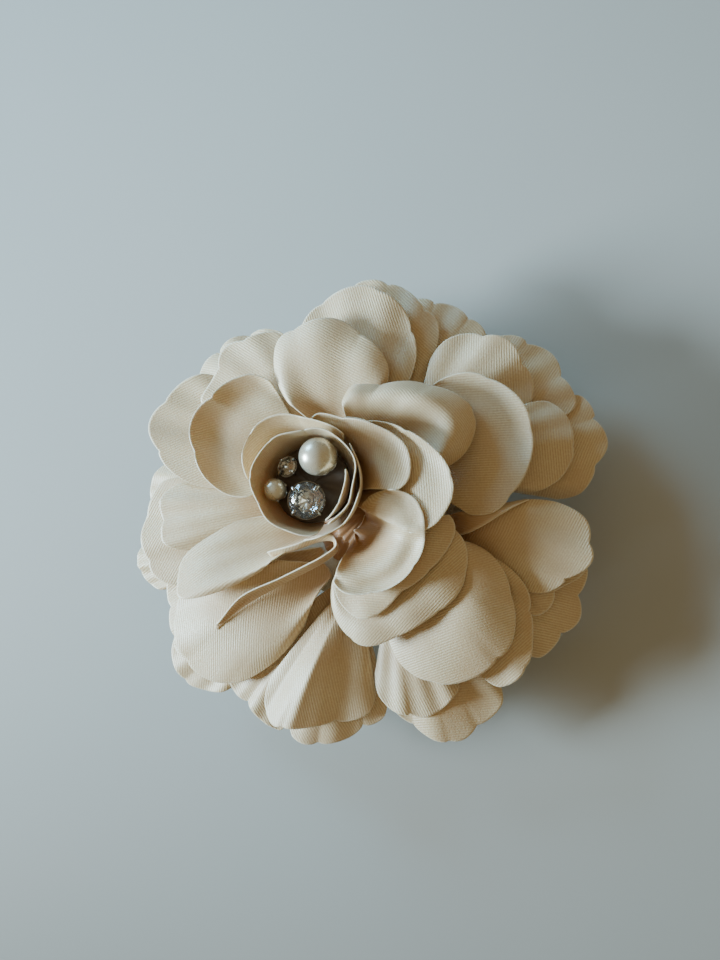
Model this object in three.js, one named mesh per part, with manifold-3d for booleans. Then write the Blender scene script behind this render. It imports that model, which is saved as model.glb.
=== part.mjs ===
// Fabric flower on a spring hair clip. Millimetres, +Z up, flower facing up, clip underneath.
import * as THREE from 'three';
import Module from 'manifold-3d';

const wasm = await Module();
wasm.setup();

// ---- overall sizes ----
const petalReach = 1.0;        // scales every petal's length
const rootRing = 13.5;         // where petals leave the core, from the middle
const sheetThick = 0.5;        // petal sheet
const seatGap = 0.46;          // room left between stacked sheets
const partGap = 0.3;           // room left between touching solid parts
// ---- back and core ----
const feltRadius = 20;
const feltThick = 1.2;
const feltBottom = 13;
const coreRadius = 8;
const coreTop = 19.8;
const coreSkirt = 12.6;
const skirtTop = 16.4;
const shoulderZ = 18.8;
// ---- bud ----
const budX = -10.3;
const budY = 5.5;
const budFootZ = 20.6;
const budFootRadius = 6.9;
const budCoreRadius = 5.6;
const beadSeatZ = 27;
// ---- beads ----
const bigPearlRadius = 4.0;
const smallPearlRadius = 2.4;
const bigStoneRadius = 3.75;
const smallStoneRadius = 2.0;
const settingWall = 0.45;
const postRadius = 0.5;
const beadRing = 9.7;          // how far the pearls reach from the bud's middle
const stoneDepth = 0.62;       // shares of a stone's radius: point below and table above its waist
const stoneRise = 0.36;
const prongCount = 4;
// ---- clip ----
const clipWidth = 8.4;
const clipPlate = 0.8;
const clipFront = 24;
const clipRear = -22;
const pivotX = -6;
const pivotZ = 8.6;
const pinRadius = 0.8;
const pinRoom = 0.06;
const earThick = 0.7;
const springWire = 0.35;
const springTurns = 4.5;
const coilRadius = 1.75;
const earFoot = 3.2;           // half length of an ear where it leaves its arm
const earTip = 2.0;
const armLip = 0.5;            // turned-down tip of the top arm
const toothCount = 3;
const toothPitch = 1.4;
const toothFall = 0.9;
const jawLow = 4.0;            // underside of the jaw's straight run
const tabLow = 0.4;            // underside of the finger tab
const headGrow = 0.7;          // pin head beyond the pin

const feltTop = feltBottom + feltThick;
const armTop = feltBottom - partGap;
const armBottom = armTop - clipPlate;
const parts = [];

// ---- materials ----
const petalCloth = { color: 0xe9dcc3, roughness: 0.72, metalness: 0 };
const feltCloth = { color: 0xe8dfcc, roughness: 0.95, metalness: 0 };
const coreFoam = { color: 0xdccfb4, roughness: 0.9, metalness: 0 };
const pearlCoat = { color: 0xf1e9da, roughness: 0.25, metalness: 0 };
const stoneGlass = { color: 0xe6ebf0, roughness: 0.05, metalness: 0 };
const platedMetal = { color: 0xb9b9bd, roughness: 0.28, metalness: 1 };
const springSteel = { color: 0x9c9ea2, roughness: 0.35, metalness: 1 };

function addPart(name, geometry, look) {
  const mesh = new THREE.Mesh(geometry, new THREE.MeshStandardMaterial(look));
  mesh.name = name;
  parts.push(mesh);
}

// ---- solid helpers ----
function weld(geometry) {
  const byPoint = new Map();
  const source = geometry.index ? geometry.toNonIndexed() : geometry;
  const at = source.getAttribute('position');
  const points = [];
  const faces = [];
  for (let i = 0; i < at.count; i += 3) {
    const ids = [];
    for (let k = 0; k < 3; k += 1) {
      const p = [at.getX(i + k), at.getY(i + k), at.getZ(i + k)];
      const key = p.map((c) => Math.round(c * 1e5)).join(',');
      if (!byPoint.has(key)) {
        byPoint.set(key, points.length / 3);
        points.push(...p);
      }
      ids.push(byPoint.get(key));
    }
    if (ids[0] !== ids[1] && ids[1] !== ids[2] && ids[2] !== ids[0]) faces.push(...ids);
  }
  const out = new THREE.BufferGeometry();
  out.setAttribute('position', new THREE.Float32BufferAttribute(points, 3));
  out.setIndex(faces);
  return out;
}

function toSolid(geometry) {
  const clean = weld(geometry);
  return new wasm.Manifold(new wasm.Mesh({
    numProp: 3,
    vertProperties: new Float32Array(clean.getAttribute('position').array),
    triVerts: new Uint32Array(clean.index.array),
  }));
}

function fromSolid(solid) {
  const mesh = solid.getMesh();
  const out = new THREE.BufferGeometry();
  out.setAttribute('position', new THREE.BufferAttribute(new Float32Array(mesh.vertProperties), 3));
  out.setIndex(new THREE.BufferAttribute(new Uint32Array(mesh.triVerts), 1));
  return out;
}

function barBetween(a, b, radius, sides) {
  const path = new THREE.Vector3().subVectors(b, a);
  const bar = new THREE.CylinderGeometry(radius, radius, path.length(), sides);
  bar.translate(0, path.length() / 2, 0);
  bar.applyQuaternion(new THREE.Quaternion().setFromUnitVectors(new THREE.Vector3(0, 1, 0),
    path.clone().normalize()));
  bar.translate(a.x, a.y, a.z);
  return bar;
}

function crossBar(x, z, radius, halfWidth, sides) {
  return barBetween(new THREE.Vector3(x, -halfWidth, z), new THREE.Vector3(x, halfWidth, z),
    radius, sides);
}

// ---- sheets: a grid of middle points becomes one closed thin solid ----
function gridNormals(grid) {
  const rows = grid.length;
  const cols = grid[0].length;
  return grid.map((row, j) => row.map((point, i) => {
    const across = new THREE.Vector3().subVectors(grid[j][Math.min(i + 1, cols - 1)],
      grid[j][Math.max(i - 1, 0)]);
    const along = new THREE.Vector3().subVectors(grid[Math.min(j + 1, rows - 1)][i],
      grid[Math.max(j - 1, 0)][i]);
    return across.cross(along).normalize();
  }));
}

function sheetSolid(grid, thick) {
  const rows = grid.length;
  const cols = grid[0].length;
  const normals = gridNormals(grid);
  const points = [];
  for (const side of [0.5, -0.5]) {
    for (let j = 0; j < rows; j += 1) {
      for (let i = 0; i < cols; i += 1) {
        const p = grid[j][i].clone().addScaledVector(normals[j][i], thick * side);
        points.push(p.x, p.y, p.z);
      }
    }
  }
  const top = (j, i) => j * cols + i;
  const low = (j, i) => rows * cols + j * cols + i;
  const faces = [];
  for (let j = 0; j < rows - 1; j += 1) {
    for (let i = 0; i < cols - 1; i += 1) {
      faces.push(top(j, i), top(j, i + 1), top(j + 1, i));
      faces.push(top(j, i + 1), top(j + 1, i + 1), top(j + 1, i));
      faces.push(low(j, i), low(j + 1, i), low(j, i + 1));
      faces.push(low(j, i + 1), low(j + 1, i), low(j + 1, i + 1));
    }
  }
  const ring = [];
  for (let i = 0; i < cols; i += 1) ring.push([0, i]);
  for (let j = 1; j < rows; j += 1) ring.push([j, cols - 1]);
  for (let i = cols - 2; i >= 0; i -= 1) ring.push([rows - 1, i]);
  for (let j = rows - 2; j > 0; j -= 1) ring.push([j, 0]);
  ring.forEach((spot, k) => {
    const next = ring[(k + 1) % ring.length];
    faces.push(top(...spot), low(...spot), top(...next));
    faces.push(top(...next), low(...spot), low(...next));
  });
  const out = new THREE.BufferGeometry();
  out.setAttribute('position', new THREE.Float32BufferAttribute(points, 3));
  out.setIndex(faces);
  return signedVolume(out) > 0 ? out : flipped(out);
}

function signedVolume(geometry) {
  const at = geometry.getAttribute('position');
  const id = geometry.index.array;
  let sum = 0;
  const a = new THREE.Vector3();
  const b = new THREE.Vector3();
  const c = new THREE.Vector3();
  for (let k = 0; k < id.length; k += 3) {
    a.fromBufferAttribute(at, id[k]);
    b.fromBufferAttribute(at, id[k + 1]);
    c.fromBufferAttribute(at, id[k + 2]);
    sum += a.dot(b.cross(c));
  }
  return sum / 6;
}

function flipped(geometry) {
  const id = Array.from(geometry.index.array);
  for (let k = 0; k < id.length; k += 3) [id[k + 1], id[k + 2]] = [id[k + 2], id[k + 1]];
  geometry.setIndex(id);
  return geometry;
}

// ---- petals ----
// Each petal fans out from its root: reach in mm at five even directions, heel height at the
// root, crest and edge heights at the left, middle and right, and how far out the crest sits.
const petals = [];

function petal(name, root, span, reach, heel, crest, rim, fold, more = {}) {
  petals.push({ name, root, span, reach, heel, crest, rim, fold, inner: 2.5, clear: rootRing, ...more });
}

// lowest ring, drooping to the table
petal('outer_petal_01', [-10.8, -3.5], [-179, -161], [42.5, 44, 44.5, 42.5, 40], 15,
  [16, 17, 16], [13, 12.5, 13], 0.35, { inner: 6.5 });
petal('outer_petal_02', [-15.3, 3.1], [162, 194], [34, 36, 36.5, 37.5, 36.5], 15.7,
  [17, 18, 17], [13.5, 13, 12.5], 0.3);
petal('outer_petal_03', [-8.6, -10.0], [-158, -130], [40, 43, 44, 41, 37.5], 15,
  [16, 17, 16], [13, 11.5, 12.5], 0.35);
petal('outer_petal_04', [-8.6, -6.8], [-171, -141], [39, 40, 41, 42.5, 40.5], 15.5,
  [17, 18, 17], [14, 13.5, 13.5], 0.35);
petal('outer_petal_05', [-4.2, -12.2], [-143, -114], [36.5, 37.5, 38, 38.5, 39], 15,
  [17, 17, 16], [13.5, 13, 13], 0.3);
petal('outer_petal_06', [-4.2, -12.2], [-115, -75], [38, 39, 36.5, 33.5, 31], 15,
  [16, 17, 16], [13, 11.5, 12.5], 0.3);
petal('outer_petal_07', [6.7, -12.3], [-99, -49], [27.5, 33.5, 38, 36.5, 34.5], 15,
  [16, 17, 16], [13.5, 13, 12.5], 0.3);
petal('outer_petal_08', [13.2, -6.0], [-52, -7], [33.5, 34, 35, 33.5, 33.5], 15,
  [16, 17, 16], [12.5, 11.5, 13], 0.3);
petal('outer_petal_09', [13.3, 6.8], [-9, 33], [30.5, 34.5, 38, 37.5, 36], 15,
  [16, 17, 16], [13.5, 13, 13.5], 0.3);
petal('outer_petal_10', [9.0, 13.3], [11, 57], [36.5, 36.5, 36.5, 34.5, 30], 15,
  [16, 17, 17], [13.5, 11.5, 13.5], 0.3);
petal('outer_petal_11', [4.6, 17.8], [40, 85], [28, 30, 30.5, 30.5, 29.5], 15,
  [17, 18, 17], [14, 13.5, 13], 0.3);
petal('outer_petal_12', [-9.2, 13.6], [110, 152], [29, 33.5, 36, 37, 36.5], 15,
  [16, 17, 16], [13, 11.5, 13], 0.3);
// middle ring, spreading flat with the edge turned down
petal('middle_petal_01', [-13.2, 1], [165, 210], [34, 37, 39, 39, 34], 16.3,
  [17.5, 18.5, 17.5], [16.5, 17, 16.5], 0.4);
petal('middle_petal_02', [-14.6, 2.9], [169, 204], [28, 32, 32.5, 32.5, 27], 17,
  [18.5, 19.5, 18.5], [18, 19, 18], 0.6);
petal('middle_petal_03', [1.1, 15.8], [48, 101], [17, 29, 32.5, 35.5, 35], 15.5,
  [17.5, 18.5, 18.5], [17, 17, 16.5], 0.4);
petal('middle_petal_04', [-1, 15.8], [49, 127], [17, 28, 33.5, 32, 25.5], 15.5,
  [19.5, 20.5, 20.5], [19.5, 20.5, 19.5], 0.5);
petal('middle_petal_05', [8.8, 13.4], [16, 76], [27, 30.5, 31.5, 28.5, 23], 15.5,
  [18.5, 19.5, 18.5], [17.5, 18, 17.5], 0.4);
petal('middle_petal_06', [13.1, 9], [-15, 33], [23, 28.5, 31.5, 31, 28], 15.5,
  [18.5, 18.5, 18.5], [16.5, 17, 16.5], 0.4);
petal('middle_petal_07', [15.2, -6], [-42, -4], [25.5, 27, 27.5, 31, 32.5], 15.5,
  [16.5, 16.5, 16.5], [15, 15, 15], 0.4);
petal('middle_petal_08', [11, -2.5], [-34, 11], [28, 33.5, 37.5, 35.5, 27], 15.5,
  [18.5, 19.5, 20.5], [18, 19, 19], 0.4);
petal('middle_petal_09', [-2.1, -12.1], [-131, -84], [33.5, 38.5, 35, 32.5, 30], 15.5,
  [18.5, 19.5, 18.5], [16.5, 16, 16], 0.4);
petal('middle_petal_10', [-7.6, -10.9], [-184, -116], [19.5, 37.5, 40, 35.5, 17], 15.5,
  [19.5, 20.5, 20.5], [16, 15.5, 18], 0.45);
petal('middle_petal_11', [5.5, -12.2], [-102, -59], [25.5, 30, 32, 30.5, 28.5], 15.5,
  [17.5, 18.5, 17.5], [16, 15.5, 15.5], 0.4);
petal('middle_petal_12', [10.9, -5.9], [-66, -13], [35, 36, 31, 26, 17], 15.5,
  [19.5, 20.5, 20.5], [18.5, 19.5, 18.5], 0.4);
petal('middle_petal_13', [-11, 9.6], [136, 189], [33, 37.5, 40, 35.5, 26], 15.5,
  [18.5, 19.5, 19.5], [19.5, 21, 19.5], 0.4);
petal('middle_petal_14', [-8.8, 15], [111, 164], [27, 29.5, 32, 30, 31], 15.5,
  [19.5, 20.5, 19.5], [19, 20, 19], 0.4);
// upper ring, standing up and opening out
petal('upper_petal_01', [6.9, -7], [-98, 1], [22, 31, 32.5, 26.5, 16.5], 17,
  [19, 22, 23], [17, 18, 20], 0.55, { clear: rootRing - 2 });
petal('upper_petal_02', [7.3, 8.6], [-33, 73], [20.5, 26.5, 30, 27, 17.5], 17,
  [22.5, 24.5, 23.5], [22, 26, 24.5], 0.7, { clear: rootRing - 2 });
petal('upper_petal_03', [-10.6, 10.4], [119, 204], [23, 27, 29, 25.5, 19], 17,
  [21, 22, 21.5], [23, 25.5, 22.5], 0.75, { clear: rootRing - 2 });
petal('upper_petal_04', [-7.2, 15.7], [42, 140], [18, 22.5, 26, 25.5, 14.5], 17.5,
  [22.5, 24.5, 22.5], [22, 23.5, 21.5], 0.8, { clear: rootRing - 2 });
// inner petals round the bud
petal('inner_petal_01', [-8, -2.5], [172, 216], [16, 25, 34.5, 36, 19], 17.5,
  [19.5, 22.5, 26], [20, 21.5, 25], 0.8, { clear: 0, inner: 2.5 });
petal('inner_petal_02', [-0.9, 9.2], [-2, 101], [20, 27, 22.5, 18, 17], 19,
  [26, 29, 28.5], [21, 25, 25], 0.85, { clear: 0, inner: 2 });
petal('inner_petal_03', [-2.1, -4.5], [-114, 2], [14, 24, 24, 26, 23], 18,
  [22, 24, 24], [21, 23, 23], 0.8, { clear: 0, inner: 4 });
petal('inner_petal_04', [-2.8, -3.8], [-106, 6], [13, 19.5, 18, 20.5, 24], 19,
  [24.5, 26.5, 26], [24.5, 26, 25], 0.8, { clear: 0, inner: 4 });
petal('inner_petal_05', [-2.9, -3.8], [-101, 51], [13, 15.5, 17.5, 17, 9], 20,
  [27.5, 29.5, 31], [28.5, 31.5, 31.5], 0.8, { clear: 0, inner: 4.5 });
petal('inner_petal_06', [-9.9, 5.4], [-27, 69], [26.5, 30.5, 25, 18, 14.5], 20,
  [23.5, 27, 28.5], [24, 29, 29.5], 0.7, { clear: 0, inner: 10.1 });
petal('inner_petal_07', [-10.1, 5.4], [-6, 88], [21, 22, 18, 15, 14.5], 21,
  [27.5, 30, 31], [28, 31.5, 32], 0.7, { clear: 0, inner: 9.7 });

const rimCols = 10;
const rowSpots = [0, 0.2, 0.42, 0.64, 0.84, 1];
const scallop = 0.045;

function mix3(list, u) {
  return u < 0.5 ? list[0] + (list[1] - list[0]) * u * 2 : list[1] + (list[2] - list[1]) * (u * 2 - 1);
}

function smoothList(list, u) {
  const curve = new THREE.CatmullRomCurve3(list.map((v, k) => new THREE.Vector3(k, v, 0)));
  return curve.getPoint(u).y;
}

function petalGrid(p) {
  const grid = [];
  const start = Math.max(p.inner, p.clear - Math.hypot(...p.root)) + sheetThick;
  rowSpots.forEach((v) => {
    const row = [];
    for (let i = 0; i < rimCols; i += 1) {
      const u = i / (rimCols - 1);
      const turn = THREE.MathUtils.degToRad(p.span[0] + (p.span[1] - p.span[0]) * u);
      const lobes = (Math.abs(Math.sin(u * Math.PI * 3)) - 0.6) * scallop * v * v;
      const edge = smoothList(p.reach, u) * petalReach * (1 + lobes);
      const out = start + (edge - start) * v;
      const x = p.root[0] + Math.cos(turn) * out;
      const y = p.root[1] + Math.sin(turn) * out;
      const crest = mix3(p.crest, u);
      const rim = mix3(p.rim, u);
      const rise = Math.sin(Math.min(v / p.fold, 1) * Math.PI / 2);
      const drop = v > p.fold ? 1 - Math.cos((v - p.fold) / (1 - p.fold) * Math.PI / 2) : 0;
      row.push(new THREE.Vector3(x, y, p.heel + (crest - p.heel) * rise + (rim - crest) * drop));
    }
    grid.push(row);
  });
  return grid;
}

// Lays the petals on each other in order: wherever two share a spot the upper one is lifted and
// the lower one pressed until a clear gap is left, and the push is spread over the sheet.
function budCeiling(x, y) {
  const out = Math.hypot(x - budX, y - budY);
  if (out > 13.2) return 60;
  if (out < budFootRadius + 0.6) return budFootZ - partGap - sheetThick - 0.3;
  return budFootZ - 1.1 + (out - budFootRadius - 1.4) * 2.4;
}

function restFloor(x, y) {
  const out = Math.hypot(x, y);
  const over = partGap + sheetThick / 2 + 0.35;
  if (out < coreRadius + 0.8) return coreTop + over;
  const slope = (shoulderZ - skirtTop) / (coreSkirt - coreRadius);
  if (out < coreSkirt + 0.6) return skirtTop + (coreSkirt + 0.6 - out) * slope + over;
  return out < feltRadius + 1.6 ? feltTop + partGap + sheetThick / 2 + 0.25 : sheetThick / 2;
}

function trianglesOf(grid) {
  const list = [];
  for (let j = 0; j < grid.length - 1; j += 1) {
    for (let i = 0; i < grid[0].length - 1; i += 1) {
      list.push([grid[j][i], grid[j][i + 1], grid[j + 1][i]]);
      list.push([grid[j][i + 1], grid[j + 1][i + 1], grid[j + 1][i]]);
    }
  }
  return list;
}

function shareInPlan(tri, x, y) {
  const [a, b, c] = tri;
  const area = (b.x - a.x) * (c.y - a.y) - (c.x - a.x) * (b.y - a.y);
  if (Math.abs(area) < 1e-6) return null;
  const wb = ((x - a.x) * (c.y - a.y) - (c.x - a.x) * (y - a.y)) / area;
  const wc = ((b.x - a.x) * (y - a.y) - (x - a.x) * (b.y - a.y)) / area;
  return [1 - wb - wc, wb, wc];
}

function steepness(tri) {
  const normal = new THREE.Vector3().subVectors(tri[1], tri[0])
    .cross(new THREE.Vector3().subVectors(tri[2], tri[0])).normalize();
  return Math.min(2.2, 1 / Math.max(0.2, Math.abs(normal.z)));
}

function gatherSpots(grids, step) {
  const spots = new Map();
  grids.forEach((grid, level) => {
    const mine = new Map();
    for (const tri of trianglesOf(grid)) {
      const xs = tri.map((p) => p.x);
      const ys = tri.map((p) => p.y);
      const lastX = Math.max(...xs) + 1;
      const lastY = Math.max(...ys) + 1;
      for (let gx = Math.floor((Math.min(...xs) - 1) / step); gx * step <= lastX; gx += 1) {
        for (let gy = Math.floor((Math.min(...ys) - 1) / step); gy * step <= lastY; gy += 1) {
          const share = shareInPlan(tri, gx * step, gy * step);
          if (!share) continue;
          const inside = Math.min(...share);
          const key = `${gx},${gy}`;
          if (inside < -0.2 || (mine.has(key) && mine.get(key).inside >= inside)) continue;
          mine.set(key, { inside, level, tri, share, x: gx * step, y: gy * step });
        }
      }
    }
    for (const [key, spot] of mine) {
      if (!spots.has(key)) spots.set(key, []);
      spots.get(key).push(spot);
    }
  });
  return [...spots.values()];
}

function heightAt(spot) {
  return spot.tri[0].z * spot.share[0] + spot.tri[1].z * spot.share[1] + spot.tri[2].z * spot.share[2];
}

function push(spot, amount) {
  const weight = spot.share.reduce((sum, s) => sum + s * s, 0);
  spot.tri.forEach((p, k) => { p.z += amount * spot.share[k] / weight; });
}

function spreadPush(grid, start, amount) {
  const moved = grid.map((row, j) => row.map((p, i) => p.z - start[j][i]));
  grid.forEach((row, j) => row.forEach((p, i) => {
    let sum = 0;
    let count = 0;
    for (const [dj, di] of [[1, 0], [-1, 0], [0, 1], [0, -1]]) {
      if (moved[j + dj] === undefined || moved[j + dj][i + di] === undefined) continue;
      sum += moved[j + dj][i + di];
      count += 1;
    }
    p.z += (sum / count - moved[j][i]) * amount;
  }));
}

function layPetals(grids, rounds) {
  const spots = gatherSpots(grids, 0.9);
  const start = grids.map((grid) => grid.map((row) => row.map((p) => p.z)));
  for (let round = 0; round < rounds; round += 1) {
    for (const column of spots) {
      for (let k = 0; k < column.length; k += 1) {
        const here = column[k];
        const lean = steepness(here.tri);
        const low = restFloor(here.x, here.y) - heightAt(here);
        if (low > 0) push(here, low);
        const high = heightAt(here) - budCeiling(here.x, here.y);
        if (high > 0) push(here, -high);
        if (k === 0) continue;
        const below = column[k - 1];
        const need = (sheetThick + seatGap) * Math.max(lean, steepness(below.tri));
        const short = need - (heightAt(here) - heightAt(below));
        if (short > 0) {
          push(here, short * 0.55);
          push(below, -short * 0.45);
        }
      }
    }
    if (round < rounds * 0.6) grids.forEach((grid, g) => spreadPush(grid, start[g], 0.25));
  }
}

function makePetals() {
  const grids = petals.map(petalGrid);
  layPetals(grids, 220);
  grids.forEach((grid, k) => addPart(petals[k].name, sheetSolid(grid, sheetThick), petalCloth));
}

// ---- bud wraps: walls lofted between a foot line and a rim line ----
function wall(name, foot, rim, cols, rows, belly, thick = sheetThick) {
  const footLine = new THREE.CatmullRomCurve3(foot.map((p) => new THREE.Vector3(...p)));
  const rimLine = new THREE.CatmullRomCurve3(rim.map((p) => new THREE.Vector3(...p)));
  const grid = [];
  for (let j = 0; j < rows; j += 1) {
    const v = j / (rows - 1);
    const row = [];
    for (let i = 0; i < cols; i += 1) {
      const a = footLine.getPoint(i / (cols - 1));
      const b = rimLine.getPoint(i / (cols - 1));
      const p = a.clone().lerp(b, v);
      const away = new THREE.Vector3(p.x - budX, p.y - budY, 0).normalize();
      p.addScaledVector(away, Math.sin(v * Math.PI) * belly);
      row.push(p);
    }
    grid.push(row);
  }
  addPart(name, sheetSolid(grid, thick), petalCloth);
}

function budRing(from, to, count, radius, height) {
  const line = [];
  for (let k = 0; k < count; k += 1) {
    const u = k / (count - 1);
    const turn = THREE.MathUtils.degToRad(from + (to - from) * u);
    const out = typeof radius === 'number' ? radius : smoothList(radius, u);
    const z = typeof height === 'number' ? height : smoothList(height, u);
    line.push([budX + Math.cos(turn) * out, budY + Math.sin(turn) * out, z]);
  }
  return line;
}

function makeBud() {
  // the innermost cup goes nearly all the way round; the two outer wraps lap over its sides
  wall('bud_wrap_01', budRing(-62, 282, 17, budFootRadius, budFootZ + 0.3),
    budRing(-62, 282, 17, [9.6, 10.3, 10.7, 10.4, 10.6, 10.8, 10.4],
      [32.5, 33.5, 34, 34.5, 34.5, 34, 33.5]),
    33, 5, 0.9);
  wall('bud_wrap_02', budRing(50, 175, 7, budFootRadius + 1.3, budFootZ + 0.2),
    budRing(50, 175, 7, [11.9, 11.9, 12.6, 14.6, 16, 15.2, 13], [33, 33, 33, 32.5, 32, 31, 29.5]), 13, 5, 0.5);
  wall('bud_wrap_03', budRing(-95, 40, 7, budFootRadius + 1.4, budFootZ + 0.2),
    budRing(-95, 40, 7, [11.8, 11.5, 11.4, 11.4, 11.5, 11.8], [30, 31.5, 32.5, 33, 33, 32.5]), 13, 5, 0.9);
  wall('bud_flap', budRing(-64, 14, 5, 8.1, beadSeatZ + 0.6),
    budRing(-64, 14, 5, [8.9, 8.5, 8.5, 9.1], [31.6, 33, 33.6, 33.8]), 8, 4, 0);
}

function makeFold() {
  const foot = [[-7.0, -7.2, 22.6], [-6.8, -9.0, 22.6], [-12.6, -12.7, 22.6], [-19.8, -16.2, 22.4],
    [-27.0, -20.2, 21.8], [-33.2, -24.8, 20.4]];
  const rim = [[-7.4, -6.4, 27.4], [-6.0, -7.5, 27.8], [-11.0, -11.0, 26.8], [-17.5, -14.2, 25.8],
    [-26.6, -18.0, 24.2], [-32.4, -23.6, 21.6]];
  // the far end follows the petals' length
  const follow = (p) => [foot[0][0] + (p[0] - foot[0][0]) * petalReach,
    foot[0][1] + (p[1] - foot[0][1]) * petalReach, p[2]];
  wall('inner_fold', foot.map(follow), rim.map(follow), 14, 4, 0);
}

// ---- felt, cores ----
function roundPart(name, profile, x, y, sides, look) {
  const shape = new THREE.LatheGeometry(profile.map((p) => new THREE.Vector2(...p)), sides);
  shape.rotateX(Math.PI / 2);
  shape.translate(x, y, 0);
  addPart(name, fromSolid(toSolid(outward(shape))), look);
}

function outward(geometry) {
  const clean = weld(geometry);
  return signedVolume(clean) > 0 ? clean : flipped(clean);
}

function makeCore() {
  roundPart('felt_back', [[0, feltBottom], [feltRadius - 0.2, feltBottom], [feltRadius, feltBottom + 0.3],
    [feltRadius, feltTop - 0.3], [feltRadius - 0.2, feltTop], [0, feltTop]], 0, 0, 48, feltCloth);
  roundPart('flower_core', [[0, feltTop + partGap], [coreSkirt, feltTop + partGap], [coreSkirt, skirtTop],
    [coreRadius, shoulderZ], [coreRadius, coreTop - 1], [coreRadius - 1, coreTop], [0, coreTop]],
  0, 0, 32, coreFoam);
  const foot = coreTop + partGap;
  roundPart('bud_core', [[0, foot], [budCoreRadius - 0.8, foot], [budCoreRadius, foot + 1.2],
    [budCoreRadius + 3, beadSeatZ - 0.6], [budCoreRadius + 2.6, beadSeatZ], [0, beadSeatZ]],
  budX, budY, 28, coreFoam);
}

// ---- beads ----
function pearl(name, x, y, z, radius, sides) {
  const hole = postRadius + partGap;
  const start = Math.asin(hole / radius);
  const profile = [[0, -radius * 0.2], [hole, -radius * 0.2], [hole, -radius * Math.cos(start)]];
  const steps = Math.round(sides / 2);
  for (let k = 1; k <= steps; k += 1) {
    const turn = start + (Math.PI - start) * k / steps;
    profile.push([k === steps ? 0 : radius * Math.sin(turn), -radius * Math.cos(turn)]);
  }
  roundPart(name, profile.map((p) => [p[0], p[1] + z]), x, y, sides, pearlCoat);
  roundPart(`${name}_post`, [[0, beadSeatZ + partGap], [postRadius * 2, beadSeatZ + partGap],
    [postRadius * 2, beadSeatZ + partGap + 0.3], [postRadius, beadSeatZ + partGap + 0.5],
    [postRadius, z - radius * 0.2 - partGap], [0, z - radius * 0.2 - partGap]], x, y, 12, platedMetal);
}

function tilted(geometry, x, y, z, lean, toward) {
  const axis = new THREE.Vector3(-Math.sin(toward), Math.cos(toward), 0);
  geometry.applyQuaternion(new THREE.Quaternion().setFromAxisAngle(axis, lean));
  geometry.translate(x, y, z);
  return geometry;
}

function stoneSet(name, x, y, z, radius, lean, toward) {
  const deg = THREE.MathUtils.degToRad;
  const cut = [[0, -radius * stoneDepth], [radius * 0.97, -radius * 0.06], [radius, 0.05],
    [radius * 0.96, radius * 0.12], [radius * 0.6, radius * stoneRise], [0, radius * stoneRise]];
  const gem = new THREE.LatheGeometry(cut.map((p) => new THREE.Vector2(...p)), 16);
  gem.rotateX(Math.PI / 2);
  addPart(name, tilted(outward(gem), x, y, z, deg(lean), deg(toward)), stoneGlass);
  // cup setting: open dish under the stone with four prongs folded over its edge
  const inside = radius + partGap;
  const wallOut = inside + settingWall;
  const low = -radius * stoneDepth - partGap;
  const dish = [[0, low - settingWall], [radius * 0.35, low - settingWall], [wallOut, -radius * 0.35],
    [wallOut, -0.05], [inside, -0.05], [inside, -radius * 0.14], [radius * 0.3, low + 0.12], [0, low]];
  const cup = new THREE.LatheGeometry(dish.map((p) => new THREE.Vector2(...p)), 24);
  cup.rotateX(Math.PI / 2);
  let body = toSolid(outward(cup));
  for (let k = 0; k < prongCount; k += 1) {
    const turn = (k + 0.5) * 2 * Math.PI / prongCount;
    const leg = new THREE.BoxGeometry(settingWall, radius * 0.32, radius * 0.45);
    leg.translate(inside + settingWall / 2, 0, radius * 0.1);
    const tip = new THREE.BoxGeometry(radius * 0.3 + settingWall, radius * 0.32, 0.35);
    tip.rotateY(deg(28));
    tip.translate(inside + settingWall / 2 - radius * 0.11, 0, radius * stoneRise + 0.15);
    for (const piece of [leg, tip]) {
      piece.rotateZ(turn);
      body = body.add(toSolid(piece));
    }
  }
  const setting = tilted(fromSolid(body), x, y, z, deg(lean), deg(toward));
  addPart(`${name}_setting`, setting, platedMetal);
}

function pearlAt(name, turn, z, radius, sides) {
  const out = beadRing - radius;
  const angle = THREE.MathUtils.degToRad(turn);
  pearl(name, budX + Math.cos(angle) * out, budY + Math.sin(angle) * out, z, radius, sides);
}

function makeBeads() {
  pearlAt('large_pearl', 64.8, beadSeatZ + bigPearlRadius + 0.9, bigPearlRadius, 24);
  pearlAt('small_pearl', 191, beadSeatZ + smallPearlRadius + 1.0, smallPearlRadius, 18);
  stoneSet('large_stone', budX - 0.3, budY - 3.8, beadSeatZ + 3.7, bigStoneRadius, 5, -60);
  stoneSet('small_stone', budX - 4.7, budY + 3.5, beadSeatZ + 2.8, smallStoneRadius, 16, 135);
}

// ---- clip ----
function sideProfile(points, width, centre = 0) {
  const shape = new THREE.Shape(points.map((p) => new THREE.Vector2(p[0], p[1])));
  const body = new THREE.ExtrudeGeometry(shape, { depth: width, bevelEnabled: false, curveSegments: 10 });
  body.rotateX(Math.PI / 2);
  body.translate(0, centre + width / 2, 0);
  return toSolid(outward(body));
}

function ear(y, from, to) {
  return sideProfile([[pivotX - earFoot, from], [pivotX + earFoot, from], [pivotX + earTip, to],
    [pivotX - earTip, to]], earThick, y);
}

function pinHole() {
  return toSolid(crossBar(pivotX, pivotZ, pinRadius + pinRoom, clipWidth, 24));
}

const innerEar = clipWidth / 2 - earThick * 1.5 - partGap;
const outerEar = clipWidth / 2 - earThick / 2;

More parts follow.
